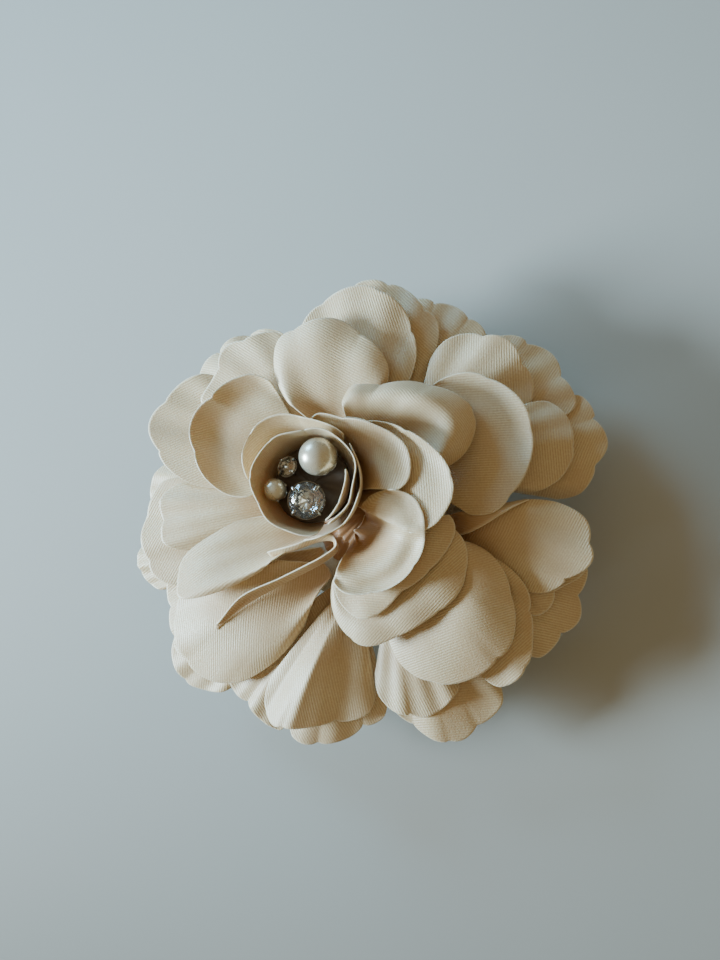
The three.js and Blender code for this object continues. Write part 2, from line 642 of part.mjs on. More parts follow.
function makeClip() {
  let arm = sideProfile([[clipRear, armTop], [clipRear, armBottom], [clipFront - 1.5, armBottom],
    [clipFront, armBottom - armLip], [clipFront + 0.5, armBottom], [clipFront + 0.3, armTop]], clipWidth);
  for (const side of [-1, 1]) arm = arm.add(ear(side * innerEar, armBottom + 0.1, pivotZ - earTip));
  addPart('clip_top_arm', fromSolid(arm.subtract(pinHole())), platedMetal);

  const top = [[clipFront - 0.6, armBottom - partGap]];
  const under = [[clipFront + 0.2, armBottom - partGap - 0.7], [clipFront - 3, 8.2], [clipFront - 7, 5.0],
    [clipFront - 12, jawLow], [pivotX - 4, jawLow], [pivotX - 9, 2.6], [clipRear + 3, tabLow],
    [clipRear - 3, tabLow]];
  for (let k = 0; k < toothCount; k += 1) {
    top.push([clipFront - 1.2 - k * toothPitch, armBottom - partGap - 1.3 - k * toothFall]);
    if (k < toothCount - 1) {
      top.push([clipFront - 1.9 - k * toothPitch, armBottom - partGap - 1.0 - k * toothFall * 5 / 6]);
    }
  }
  const inner = under.slice(1).map((p) => [p[0] - 0.1, p[1] + clipPlate]).reverse();
  const outline = [...under, ...inner.slice(0, -1), ...top.reverse()];
  let jaw = sideProfile(outline, clipWidth - 0.6);
  for (const side of [-1, 1]) jaw = jaw.add(ear(side * outerEar, jawLow + 0.1, pivotZ + earTip));
  addPart('clip_jaw', fromSolid(jaw.subtract(pinHole())), platedMetal);

  let pin = toSolid(crossBar(pivotX, pivotZ, pinRadius, clipWidth / 2 + partGap + 0.3, 24));
  for (const side of [-1, 1]) {
    const head = crossBar(pivotX, pivotZ, pinRadius + headGrow, 0.25, 24);
    head.translate(0, side * (clipWidth / 2 + partGap + 0.25), 0);
    pin = pin.add(toSolid(head));
  }
  addPart('clip_pin', fromSolid(pin), platedMetal);
  makeSpring();
}

function makeSpring() {
  const half = innerEar - earThick / 2 - partGap - springWire;
  const points = [];
  const upAngle = Math.PI * 0.62;
  const turns = springTurns * 2 * Math.PI;
  const steps = 48;
  points.push(new THREE.Vector3(pivotX - 8.5, -half, armBottom - partGap - springWire));
  points.push(new THREE.Vector3(pivotX - 4.5, -half, armBottom - partGap - springWire - 0.3));
  for (let k = 0; k <= steps; k += 1) {
    const turn = upAngle - turns * k / steps;
    points.push(new THREE.Vector3(pivotX + Math.cos(turn) * coilRadius, -half + 2 * half * k / steps,
      pivotZ + Math.sin(turn) * coilRadius));
  }
  points.push(new THREE.Vector3(pivotX - 4.5, half, jawLow + clipPlate + springWire + 1.0));
  points.push(new THREE.Vector3(pivotX - 8.5, half, 2.7 + clipPlate + springWire + partGap + 0.3));
  const path = new THREE.CatmullRomCurve3(points);
  const wire = new THREE.Shape();
  wire.absarc(0, 0, springWire, 0, Math.PI * 2, false);
  const body = new THREE.ExtrudeGeometry(wire,
    { steps: 110, extrudePath: path, curveSegments: 3, bevelEnabled: false });
  addPart('clip_spring', fromSolid(toSolid(outward(body))), springSteel);
}

makePetals();
makeBud();
makeFold();
makeCore();
makeBeads();
makeClip();

// centre the whole piece over its own outline and stand it on z = 0
const group = new THREE.Group();
const box = new THREE.Box3();
for (const mesh of parts) {
  mesh.geometry.computeBoundingBox();
  box.union(mesh.geometry.boundingBox);
}
for (const mesh of parts) {
  mesh.geometry.translate(-(box.min.x + box.max.x) / 2, -(box.min.y + box.max.y) / 2, -box.min.z);
  group.add(mesh);
}
group.name = 'flower_hair_clip';

export default group;
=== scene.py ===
import bpy
import math
import random
import numpy as np
from mathutils import Matrix, Vector
from mathutils.bvhtree import BVHTree


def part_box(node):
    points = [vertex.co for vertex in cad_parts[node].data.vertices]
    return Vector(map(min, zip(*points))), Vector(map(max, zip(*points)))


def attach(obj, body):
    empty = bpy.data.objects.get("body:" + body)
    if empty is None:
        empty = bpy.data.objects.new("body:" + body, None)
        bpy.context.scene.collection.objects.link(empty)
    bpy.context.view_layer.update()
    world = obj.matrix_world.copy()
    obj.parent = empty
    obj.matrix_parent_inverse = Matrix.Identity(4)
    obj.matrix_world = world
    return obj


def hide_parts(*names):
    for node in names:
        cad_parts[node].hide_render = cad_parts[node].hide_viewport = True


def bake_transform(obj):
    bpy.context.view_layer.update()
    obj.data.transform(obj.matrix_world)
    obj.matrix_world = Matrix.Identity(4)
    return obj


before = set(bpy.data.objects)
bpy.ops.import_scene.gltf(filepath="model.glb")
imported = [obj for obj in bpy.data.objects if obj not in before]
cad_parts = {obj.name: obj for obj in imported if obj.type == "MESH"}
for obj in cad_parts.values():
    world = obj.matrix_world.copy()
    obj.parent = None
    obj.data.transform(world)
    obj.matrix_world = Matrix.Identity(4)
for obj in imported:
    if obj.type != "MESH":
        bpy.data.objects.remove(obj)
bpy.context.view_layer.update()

mm = 0.001
feltLow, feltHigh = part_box("felt_back")
# the flower's own zero: under the middle of the felt disc, 13 mm below it
hub = Vector(((feltLow.x + feltHigh.x) / 2, (feltLow.y + feltHigh.y) / 2, feltLow.z - 13 * mm))
hubMm = np.array(hub) / mm
print("frame loaded, hub at", tuple(round(c, 2) for c in hubMm))


# ---- camera and room ----
cameraSpot = {"at": (72.18, -30.66, 351.78), "target": (-1.11, 6.68, 21.88), "lens": 60}

lights = {   # place and aim in mm round the hub, size in metres, beam in degrees, power in watts
    "windowLight": {"at": (-550, -45, 215), "aim": (0, 55, 10), "size": 0.22, "beam": 54, "power": 1.2,
                    "colour": (0.62, 0.85, 1.0)},
    "skyLight": {"at": (-400, 420, 190), "aim": (-120, 170, 0), "size": 0.3, "beam": 50, "power": 0.42,
                 "colour": (0.30, 0.68, 1.0)},
}
roomGlow = {"colour": (1.0, 0.80, 0.46), "strength": 0.31}


def spot(x, y, z):
    return Vector((x, y, z)) * mm + hub


def aimAt(obj, target, up=Vector((0, 1, 0))):
    forward = (target - obj.location).normalized()
    side = forward.cross(up).normalized()
    obj.matrix_world = Matrix.LocRotScale(obj.location, Matrix((side, side.cross(forward), -forward))
                                          .transposed().to_quaternion(), None)


def makeCamera():
    data = bpy.data.cameras.new("cameraLens")
    data.lens = cameraSpot["lens"]
    data.sensor_width = 36
    data.clip_start = 0.01
    camera = bpy.data.objects.new("photoCamera", data)
    bpy.context.scene.collection.objects.link(camera)
    camera.location = spot(*cameraSpot["at"])
    aimAt(camera, spot(*cameraSpot["target"]))
    bpy.context.scene.camera = camera


def makeLights():
    for name, light in lights.items():
        data = bpy.data.lights.new(name, "AREA")
        data.shape = "DISK"
        data.size = light["size"]
        data.spread = math.radians(light["beam"])
        data.energy = light["power"]
        data.color = light["colour"]
        lamp = bpy.data.objects.new(name, data)
        bpy.context.scene.collection.objects.link(lamp)
        lamp.location = spot(*light["at"])
        aimAt(lamp, spot(*light["aim"]))
    world = bpy.data.worlds.new("roomGlow")
    world.use_nodes = True
    glow = world.node_tree.nodes["Background"]
    glow.inputs["Color"].default_value = (*roomGlow["colour"], 1)
    glow.inputs["Strength"].default_value = roomGlow["strength"]
    bpy.context.scene.world = world


makeCamera()
makeLights()
print("camera and lights ready")


# ---- shader building ----
def addNode(tree, kind, values=None, **settings):
    node = tree.nodes.new(kind)
    for key, value in settings.items():
        setattr(node, key, value)
    for key, value in (values or {}).items():
        node.inputs[key].default_value = value
    return node


def newGroup(name, takes, gives):
    group = bpy.data.node_groups.new(name, "ShaderNodeTree")
    for label, kind, value in takes:
        socket = group.interface.new_socket(name=label, in_out="INPUT", socket_type=kind)
        if value is not None:
            socket.default_value = value
    for label, kind in gives:
        group.interface.new_socket(name=label, in_out="OUTPUT", socket_type=kind)
    return group, group.nodes.new("NodeGroupInput"), group.nodes.new("NodeGroupOutput")


def makeToneDrift():
    # slow change of tone over a surface, between two colours
    group, given, out = newGroup("toneDrift", [
        ("Vector", "NodeSocketVector", None), ("Scale", "NodeSocketFloat", 40.0),
        ("Light", "NodeSocketColor", (0.8, 0.8, 0.8, 1)),
        ("Dark", "NodeSocketColor", (0.7, 0.7, 0.7, 1)),
        ("Speckle", "NodeSocketFloat", 0.2)], [("Color", "NodeSocketColor")])
    slow = addNode(group, "ShaderNodeTexNoise", {"Detail": 3.0, "Roughness": 0.6})
    quick = addNode(group, "ShaderNodeTexNoise", {"Detail": 2.0, "Roughness": 0.7})
    faster = addNode(group, "ShaderNodeMath", {1: 9.0}, operation="MULTIPLY")
    blend = addNode(group, "ShaderNodeMix", data_type="FLOAT")
    spread = addNode(group, "ShaderNodeMapRange", {1: 0.3, 2: 0.7})
    mix = addNode(group, "ShaderNodeMix", data_type="RGBA")
    link = group.links.new
    link(given.outputs["Vector"], slow.inputs["Vector"])
    link(given.outputs["Vector"], quick.inputs["Vector"])
    link(given.outputs["Scale"], slow.inputs["Scale"])
    link(given.outputs["Scale"], faster.inputs[0])
    link(faster.outputs[0], quick.inputs["Scale"])
    link(given.outputs["Speckle"], blend.inputs[0])
    link(slow.outputs["Fac"], blend.inputs[2])
    link(quick.outputs["Fac"], blend.inputs[3])
    link(blend.outputs[0], spread.inputs[0])
    link(spread.outputs[0], mix.inputs[0])
    link(given.outputs["Light"], mix.inputs[6])
    link(given.outputs["Dark"], mix.inputs[7])
    link(mix.outputs[2], out.inputs["Color"])
    return group


def makeWeave():
    # ribbed satin threads: ribs one way, fine crossing threads, and crepe grain between
    group, given, out = newGroup("satinWeave", [
        ("Vector", "NodeSocketVector", None), ("Rib Scale", "NodeSocketFloat", 0.45),
        ("Grain Scale", "NodeSocketFloat", 2.2), ("Grain Share", "NodeSocketFloat", 0.45)],
        [("Height", "NodeSocketFloat"), ("Mask", "NodeSocketFloat")])
    link = group.links.new
    ribs = addNode(group, "ShaderNodeTexWave", {"Distortion": 1.1, "Detail": 2.0, "Detail Scale": 0.6},
                   wave_type="BANDS", bands_direction="X", wave_profile="SIN")
    cross = addNode(group, "ShaderNodeTexWave", {"Distortion": 1.6, "Detail": 2.0, "Detail Scale": 1.5},
                    wave_type="BANDS", bands_direction="Y", wave_profile="SIN")
    finer = addNode(group, "ShaderNodeMath", {1: 1.9}, operation="MULTIPLY")
    grain = addNode(group, "ShaderNodeTexNoise", {"Detail": 3.0, "Roughness": 0.65})
    patches = addNode(group, "ShaderNodeTexNoise", {"Scale": 0.09, "Detail": 1.0})
    patchy = addNode(group, "ShaderNodeMapRange", {1: 0.35, 2: 0.65, 3: 0.35, 4: 1.0})
    threads = addNode(group, "ShaderNodeMix", {0: 0.22}, data_type="FLOAT")
    ribsHere = addNode(group, "ShaderNodeMath", operation="MULTIPLY")
    both = addNode(group, "ShaderNodeMix", data_type="FLOAT")
    for node in (ribs, cross, grain, patches):
        link(given.outputs["Vector"], node.inputs["Vector"])
    link(given.outputs["Rib Scale"], ribs.inputs["Scale"])
    link(given.outputs["Rib Scale"], finer.inputs[0])
    link(finer.outputs[0], cross.inputs["Scale"])
    link(given.outputs["Grain Scale"], grain.inputs["Scale"])
    link(ribs.outputs["Fac"], threads.inputs[2])
    link(cross.outputs["Fac"], threads.inputs[3])
    link(patches.outputs["Fac"], patchy.inputs[0])
    link(threads.outputs[0], ribsHere.inputs[0])
    link(patchy.outputs[0], ribsHere.inputs[1])
    link(given.outputs["Grain Share"], both.inputs[0])
    link(ribsHere.outputs[0], both.inputs[2])
    link(grain.outputs["Fac"], both.inputs[3])
    link(both.outputs[0], out.inputs["Height"])
    link(ribsHere.outputs[0], out.inputs["Mask"])
    return group


def makeRubbing():
    # fine rubbing on metal: stretched noise for roughness and a faint height
    group, given, out = newGroup("fineRubbing", [
        ("Vector", "NodeSocketVector", None), ("Scale", "NodeSocketFloat", 900.0),
        ("Smooth", "NodeSocketFloat", 0.2), ("Rough", "NodeSocketFloat", 0.4)],
        [("Roughness", "NodeSocketFloat"), ("Height", "NodeSocketFloat")])
    link = group.links.new
    stretch = addNode(group, "ShaderNodeMapping", {"Scale": (0.12, 1.0, 1.0)})
    noise = addNode(group, "ShaderNodeTexNoise", {"Detail": 4.0, "Roughness": 0.7})
    stain = addNode(group, "ShaderNodeTexNoise", {"Scale": 160.0, "Detail": 3.0})
    blend = addNode(group, "ShaderNodeMix", {0: 0.5}, data_type="FLOAT")
    span = addNode(group, "ShaderNodeMapRange", {1: 0.32, 2: 0.68})
    link(given.outputs["Vector"], stretch.inputs["Vector"])
    link(stretch.outputs[0], noise.inputs["Vector"])
    link(given.outputs["Vector"], stain.inputs["Vector"])
    link(given.outputs["Scale"], noise.inputs["Scale"])
    link(noise.outputs["Fac"], blend.inputs[2])
    link(stain.outputs["Fac"], blend.inputs[3])
    link(blend.outputs[0], span.inputs[0])
    link(given.outputs["Smooth"], span.inputs[3])
    link(given.outputs["Rough"], span.inputs[4])
    link(span.outputs[0], out.inputs["Roughness"])
    link(noise.outputs["Fac"], out.inputs["Height"])
    return group


toneDrift = makeToneDrift()
satinWeave = makeWeave()
fineRubbing = makeRubbing()


def newMaterial(name, **sockets):
    material = bpy.data.materials.new(name)
    material.use_nodes = True
    tree = material.node_tree
    shader = tree.nodes["Principled BSDF"]
    for label, value in sockets.items():
        shader.inputs[label.replace("_", " ")].default_value = value
    return material, tree, shader


def useGroup(tree, group, values):
    return addNode(tree, "ShaderNodeGroup", values, node_tree=group)


def addBump(tree, shader, height, distance, strength):
    bump = addNode(tree, "ShaderNodeBump", {"Strength": strength, "Distance": distance})
    tree.links.new(height, bump.inputs["Height"])
    tree.links.new(bump.outputs["Normal"], shader.inputs["Normal"])
    return bump


# rib and grain are texture scales on cloth laid out in mm; bump is in mm
# the warm dark colour is painted shade: deep at the petals' roots it stands in for shade and warm bounce
# light
satin = {"light": (0.84, 0.71, 0.485, 1), "dark": (0.76, 0.605, 0.365, 1),
         "warmShade": (0.42, 0.19, 0.055, 1), "cutEdge": (0.88, 0.79, 0.61, 1),
         "rib": 0.58, "grain": 2.3, "grainShare": 0.63, "pitShade": 0.4, "bump": 0.14, "strength": 1.0}
# the bead seat's cloth is painted near-black brown: painted shade for the deep hollow between the beads
padShade = {"light": (0.11, 0.066, 0.038, 1), "dark": (0.065, 0.037, 0.02, 1),
          "warmShade": (0.04, 0.02, 0.012, 1), "cutEdge": (0.25, 0.17, 0.11, 1)}
# the gathered core is painted dark red-brown: painted shade and warm bounce light for the deep well round
# the bud
coreShade = {"light": (0.36, 0.16, 0.05, 1), "dark": (0.24, 0.095, 0.03, 1)}


def makeSatin(name, look):
    # ivory satin: ribs and crepe grain follow each petal's own cut, the cut edge is paler,
    # and painted warm shade darkens the cloth towards the root, standing in for shade and bounce light
    # there
    material, tree, shader = newMaterial(
        name, Sheen_Weight=0.18, Sheen_Roughness=0.4, Coat_Weight=0.15, Coat_Roughness=0.38,
        Specular_IOR_Level=0.85, Subsurface_Weight=0.1, Subsurface_Radius=(1.0, 0.62, 0.36),
        Subsurface_Scale=0.0009)
    link = tree.links.new
    cut = addNode(tree, "ShaderNodeUVMap", uv_map="cloth")
    weave = useGroup(tree, satinWeave, {"Rib Scale": look["rib"], "Grain Scale": look["grain"],
                                        "Grain Share": look["grainShare"]})
    drift = useGroup(tree, toneDrift, {"Scale": 0.07, "Light": look["light"], "Dark": look["dark"],
                                       "Speckle": 0.35})
    link(cut.outputs["UV"], weave.inputs["Vector"])
    link(cut.outputs["UV"], drift.inputs["Vector"])
    # painted shade in the ribs' valleys: the cloth is mixed a little towards the warm shade colour there
    valleyShade = addNode(tree, "ShaderNodeMapRange", {1: 0.0, 2: 0.6, 3: 0.14, 4: 0.0})
    shade = addNode(tree, "ShaderNodeMix", {7: look["warmShade"]}, data_type="RGBA")
    link(weave.outputs["Mask"], valleyShade.inputs[0])
    link(valleyShade.outputs[0], shade.inputs[0])
    link(drift.outputs["Color"], shade.inputs[6])
    # painted shade in the grain's pits: the grain's low points are mixed towards the warm shade colour
    pitShade = addNode(tree, "ShaderNodeMapRange", {1: 0.32, 2: 0.62, 3: look["pitShade"], 4: 0.0})
    grained = addNode(tree, "ShaderNodeMix", {7: look["warmShade"]}, data_type="RGBA")
    link(weave.outputs["Height"], pitShade.inputs[0])
    link(pitShade.outputs[0], grained.inputs[0])
    link(shade.outputs[2], grained.inputs[6])
    # painted warm shade towards the root, by the share stored on each sheet
    warmShade = addNode(tree, "ShaderNodeAttribute", attribute_name="warmShade")
    warm = addNode(tree, "ShaderNodeMix", {7: look["warmShade"]}, data_type="RGBA")
    link(warmShade.outputs["Fac"], warm.inputs[0])
    link(grained.outputs[2], warm.inputs[6])
    edge = addNode(tree, "ShaderNodeAttribute", attribute_name="cutEdge")
    pale = addNode(tree, "ShaderNodeMix", {7: look["cutEdge"]}, data_type="RGBA")
    link(edge.outputs["Fac"], pale.inputs[0])
    link(warm.outputs[2], pale.inputs[6])
    link(pale.outputs[2], shader.inputs["Base Color"])
    gloss = addNode(tree, "ShaderNodeMapRange", {1: 0.0, 2: 1.0, 3: 0.56, 4: 0.36})
    link(weave.outputs["Mask"], gloss.inputs[0])
    link(gloss.outputs[0], shader.inputs["Roughness"])
    addBump(tree, shader, weave.outputs["Height"], look["bump"] * mm, look["strength"])
    return material


def makeFelt():
    material, tree, shader = newMaterial("feltBack", Sheen_Weight=0.3, Specular_IOR_Level=0.2)
    link = tree.links.new
    where = addNode(tree, "ShaderNodeTexCoord")
    drift = useGroup(tree, toneDrift, {"Scale": 220.0, "Light": (0.80, 0.74, 0.62, 1),
                                       "Dark": (0.66, 0.58, 0.45, 1), "Speckle": 0.6})
    fibres = addNode(tree, "ShaderNodeTexNoise", {"Scale": 1500.0, "Detail": 5.0, "Roughness": 0.75,
                                                  "Distortion": 1.2})
    rough = addNode(tree, "ShaderNodeMapRange", {1: 0.3, 2: 0.7, 3: 0.86, 4: 1.0})
    for node in (drift, fibres):
        link(where.outputs["Object"], node.inputs["Vector"])
    link(drift.outputs["Color"], shader.inputs["Base Color"])
    link(fibres.outputs["Fac"], rough.inputs[0])
    link(rough.outputs[0], shader.inputs["Roughness"])
    addBump(tree, shader, fibres.outputs["Fac"], 0.25 * mm, 0.8)
    return material


# smooth and rough are the ends of the roughness, scale is how fine the rubbing is
metals = {
    "stoneFoil": {"light": (0.92, 0.92, 0.93, 1), "dark": (0.84, 0.84, 0.85, 1), "smooth": 0.03,
                  "rough": 0.08, "scale": 700.0, "metallic": 0.92},
    "darkPlate": {"light": (0.52, 0.50, 0.47, 1), "dark": (0.24, 0.23, 0.22, 1), "smooth": 0.14,
                  "rough": 0.34, "scale": 900.0, "metallic": 1.0},
    "clipNickel": {"light": (0.74, 0.73, 0.71, 1), "dark": (0.62, 0.61, 0.60, 1), "smooth": 0.16,
                   "rough": 0.36, "scale": 1200.0, "metallic": 1.0},
    "springWireSteel": {"light": (0.58, 0.58, 0.60, 1), "dark": (0.44, 0.44, 0.46, 1), "smooth": 0.2,
                        "rough": 0.42, "scale": 1500.0, "metallic": 1.0},
}


def makeMetal(name):
    look = metals[name]
    material, tree, shader = newMaterial(name, Metallic=look["metallic"])
    link = tree.links.new
    where = addNode(tree, "ShaderNodeTexCoord")
    drift = useGroup(tree, toneDrift, {"Scale": 260.0, "Light": look["light"], "Dark": look["dark"],
                                       "Speckle": 0.4})
    rub = useGroup(tree, fineRubbing, {"Scale": look["scale"], "Smooth": look["smooth"],
                                       "Rough": look["rough"]})
    for node in (drift, rub):
        link(where.outputs["Object"], node.inputs["Vector"])
    link(drift.outputs["Color"], shader.inputs["Base Color"])
    link(rub.outputs["Roughness"], shader.inputs["Roughness"])
    addBump(tree, shader, rub.outputs["Height"], 0.02 * mm, 0.35)
    return material


def makePearlCoat():
    # nacre lacquer: cream body, clear coat, and a painted dark rim where the surface turns from view,
    # standing in for reflected dark surroundings
    material, tree, shader = newMaterial("pearlCoat", Metallic=0.55, Coat_Weight=0.8,
                                         Coat_Roughness=0.08, Specular_IOR_Level=0.6)
    link = tree.links.new
    where = addNode(tree, "ShaderNodeTexCoord")
    drift = useGroup(tree, toneDrift, {"Scale": 320.0, "Light": (0.80, 0.74, 0.60, 1),
                                       "Dark": (0.72, 0.65, 0.50, 1), "Speckle": 0.3})
    turn = addNode(tree, "ShaderNodeLayerWeight", {"Blend": 0.35})
    # painted reflection: the body is mixed towards a darker tone near its silhouette
    paintedRim = addNode(tree, "ShaderNodeMix", {7: (0.46, 0.42, 0.33, 1)}, data_type="RGBA")
    ripple = addNode(tree, "ShaderNodeTexNoise", {"Scale": 700.0, "Detail": 2.0})
    rough = addNode(tree, "ShaderNodeMapRange", {1: 0.3, 2: 0.7, 3: 0.24, 4: 0.34})
    for node in (drift, ripple):
        link(where.outputs["Object"], node.inputs["Vector"])
    link(turn.outputs["Facing"], paintedRim.inputs[0])
    link(drift.outputs["Color"], paintedRim.inputs[6])
    link(paintedRim.outputs[2], shader.inputs["Base Color"])
    link(ripple.outputs["Fac"], rough.inputs[0])
    link(rough.outputs[0], shader.inputs["Roughness"])
    addBump(tree, shader, ripple.outputs["Fac"], 0.015 * mm, 0.3)
    return material


def makeStoneGlass():
    material, tree, shader = newMaterial("stoneGlass", Transmission_Weight=1.0, IOR=1.6,
                                         Specular_IOR_Level=0.6)
    link = tree.links.new
    where = addNode(tree, "ShaderNodeTexCoord")
    haze = addNode(tree, "ShaderNodeTexNoise", {"Scale": 900.0, "Detail": 2.0})
    rough = addNode(tree, "ShaderNodeMapRange", {1: 0.4, 2: 0.75, 3: 0.0, 4: 0.05})
    drift = useGroup(tree, toneDrift, {"Scale": 300.0, "Light": (0.98, 0.98, 0.97, 1),
                                       "Dark": (0.93, 0.94, 0.95, 1), "Speckle": 0.2})
    for node in (haze, drift):
        link(where.outputs["Object"], node.inputs["Vector"])
    link(haze.outputs["Fac"], rough.inputs[0])
    link(rough.outputs[0], shader.inputs["Roughness"])
    link(drift.outputs["Color"], shader.inputs["Base Color"])
    return material


def makeFloorPaint():
    material, tree, shader = newMaterial("palePaint", Specular_IOR_Level=0.3)
    link = tree.links.new
    where = addNode(tree, "ShaderNodeTexCoord")
    drift = useGroup(tree, toneDrift, {"Scale": 5.0, "Light": (0.475, 0.475, 0.45, 1),
                                       "Dark": (0.445, 0.45, 0.43, 1), "Speckle": 0.1})
    grain = addNode(tree, "ShaderNodeTexNoise", {"Scale": 600.0, "Detail": 2.0})
    rough = addNode(tree, "ShaderNodeMapRange", {1: 0.3, 2: 0.7, 3: 0.5, 4: 0.62})
    for node in (drift, grain):
        link(where.outputs["Object"], node.inputs["Vector"])
    link(drift.outputs["Color"], shader.inputs["Base Color"])
    link(grain.outputs["Fac"], rough.inputs[0])
    link(rough.outputs[0], shader.inputs["Roughness"])
    return material


petalSatin = makeSatin("petalSatin", satin)
shadedPadCloth = makeSatin("shadedPadCloth", {**satin, **padShade})
shadedCoreCloth = makeSatin("shadedCoreCloth", {**satin, **coreShade})
feltBack = makeFelt()
pearlCoat = makePearlCoat()
stoneGlass = makeStoneGlass()
stoneFoil = makeMetal("stoneFoil")
darkPlate = makeMetal("darkPlate")
clipNickel = makeMetal("clipNickel")
springWireSteel = makeMetal("springWireSteel")
floorPaint = makeFloorPaint()
print("materials ready")


# ---- mesh helpers ----
def addObject(name, points, faces, material, flat=False, sharpAngle=50):
    mesh = bpy.data.meshes.new(name)
    mesh.from_pydata([tuple(p) for p in np.asarray(points) * mm + np.array(hub)], [], faces)
    mesh.validate()
    for one in material if isinstance(material, list) else [material]:
        mesh.materials.append(one)
    if not flat:
        mesh.shade_smooth()
        mesh.set_sharp_from_angle(angle=math.radians(sharpAngle))
    obj = bpy.data.objects.new(name, mesh)
    bpy.context.scene.collection.objects.link(obj)
    return obj


def settle(obj, body, slot, *nodes):
    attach(obj, body)
    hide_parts(*nodes)
    return obj


def smoothStep(low, high, value):
    t = np.clip((value - low) / (high - low), 0, 1)
    return t * t * (3 - 2 * t)


def curveAt(points, spots):
    # a centripetal curve through the points, read at shares from 0 to 1 of their count; for a plain
    # list of values it gives (index, value) pairs
    points = np.asarray(points, float)
    if points.ndim == 1:
        points = np.stack([np.arange(len(points)), points], 1)
    padded = np.vstack([2 * points[0] - points[1], points, 2 * points[-1] - points[-2]])
    out = []
    for share in np.atleast_1d(spots):
        along = share * (len(points) - 1)
        k = min(int(along), len(points) - 2)
        t = along - k
        a, b, c, d = padded[k:k + 4]
        gaps = [max(float(((q - p) ** 2).sum()) ** 0.25, 1e-4) for p, q in ((a, b), (b, c), (c, d))]
        leave = ((b - a) / gaps[0] - (c - a) / (gaps[0] + gaps[1]) + (c - b) / gaps[1]) * gaps[1]
        arrive = ((c - b) / gaps[1] - (d - b) / (gaps[1] + gaps[2]) + (d - c) / gaps[2]) * gaps[1]
        out.append(b + leave * t + (-3 * b + 3 * c - 2 * leave - arrive) * t ** 2
                   + (2 * b - 2 * c + leave + arrive) * t ** 3)
    return np.array(out)


def splineAt(knots, values, spots):
    # natural cubic spline through rows of values
    knots, values = np.asarray(knots, float), np.asarray(values, float)
    n, h = len(knots), np.diff(knots)
    system, right = np.eye(n), np.zeros(values.shape)
    for k in range(1, n - 1):
        system[k, k - 1:k + 2] = h[k - 1], 2 * (h[k - 1] + h[k]), h[k]
        right[k] = 6 * ((values[k + 1] - values[k]) / h[k] - (values[k] - values[k - 1]) / h[k - 1])
    bend = np.linalg.solve(system, right)
    k = np.clip(np.searchsorted(knots, spots, side="right") - 1, 0, n - 2)
    shape = (-1,) + (1,) * (values.ndim - 1)
    a, b = (spots - knots[k]).reshape(shape), (knots[k + 1] - spots).reshape(shape)
    w = h[k].reshape(shape)
    return (bend[k] * b ** 3 / (6 * w) + bend[k + 1] * a ** 3 / (6 * w)
            + (values[k] / w - bend[k] * w / 6) * b + (values[k + 1] / w - bend[k + 1] * w / 6) * a)


def gridNormals(grid):
    across = np.gradient(grid, axis=1)
    along = np.gradient(grid, axis=0)
    normal = np.cross(across, along)
    return normal / np.maximum(np.linalg.norm(normal, axis=2, keepdims=True), 1e-9)


def borderOf(rows, cols):
    ring = [(0, i) for i in range(cols)] + [(j, cols - 1) for j in range(1, rows)]
    ring += [(rows - 1, i) for i in range(cols - 2, -1, -1)] + [(j, 0) for j in range(rows - 2, 0, -1)]
    return ring


sheetEdge = {"bulge": 0.4, "paleShare": 0.45, "sharpAngle": 75}


def makeSheet(name, grid, cloth, warmShade, thick, material):
    # closes a grid of middle points into a thin sheet with a rounded cut edge; cloth is the same grid
    # on the flat pattern in mm, and the last grid the share of painted warm shade at each point
    rows, cols = grid.shape[:2]
    normal = gridNormals(grid)
    top = (grid + normal * thick / 2).reshape(-1, 3)
    low = (grid - normal * thick / 2).reshape(-1, 3)
    ring = borderOf(rows, cols)
    lip = []
    for j, i in ring:
        inner = grid[min(max(j, 1), rows - 2), min(max(i, 1), cols - 2)]
        out = grid[j, i] - inner
        lip.append(grid[j, i] + out / max(np.linalg.norm(out), 1e-6) * thick * sheetEdge["bulge"])
    points = np.vstack([top, low, lip])
    count = rows * cols
    faces = []

    def at(j, i):
        return j * cols + i
    for j in range(rows - 1):
        for i in range(cols - 1):
            quad = [at(j, i), at(j, i + 1), at(j + 1, i + 1), at(j + 1, i)]
            faces.append(quad)
            faces.append([count + q for q in reversed(quad)])
    for k, (j, i) in enumerate(ring):
        nj, ni = ring[(k + 1) % len(ring)]
        here, there = 2 * count + k, 2 * count + (k + 1) % len(ring)
        faces.append([at(nj, ni), at(j, i), here, there])
        faces.append([there, here, count + at(j, i), count + at(nj, ni)])
    obj = addObject(name, points, faces, material, sharpAngle=sheetEdge["sharpAngle"])
    mesh = obj.data
    flat = np.vstack([cloth.reshape(-1, 2), cloth.reshape(-1, 2), [cloth[j, i] for j, i in ring]])
    corners = np.zeros(len(mesh.loops), np.int32)
    mesh.loops.foreach_get("vertex_index", corners)
    mesh.uv_layers.new(name="cloth").data.foreach_set("uv", flat[corners].astype(np.float32).ravel())
    edge = np.zeros((rows, cols))
    for j, i in ring:
        edge[j, i] = sheetEdge["paleShare"]
    lipWarmShade = [warmShade[j, i] for j, i in ring]
    masks = {"cutEdge": np.concatenate([edge.ravel(), edge.ravel(), np.ones(len(ring))]),
             "warmShade": np.concatenate([warmShade.ravel(), warmShade.ravel(), lipWarmShade])}
    for label, values in masks.items():
        mask = mesh.attributes.new(label, "FLOAT", "POINT")
        mask.data.foreach_set("value", values.astype(np.float32))
    return obj


def cutSize(cloth):
    # width, length and area of the flat cut, in metres
    size = (cloth.reshape(-1, 2).max(0) - cloth.reshape(-1, 2).min(0)) * mm
    ring = np.array([cloth[j, i] for j, i in borderOf(*cloth.shape[:2])]) * mm
    area = abs(np.sum(ring[:, 0] * np.roll(ring[:, 1], -1) - ring[:, 1] * np.roll(ring[:, 0], -1))) / 2
    return (float(size[0]), float(size[1])), float(area)


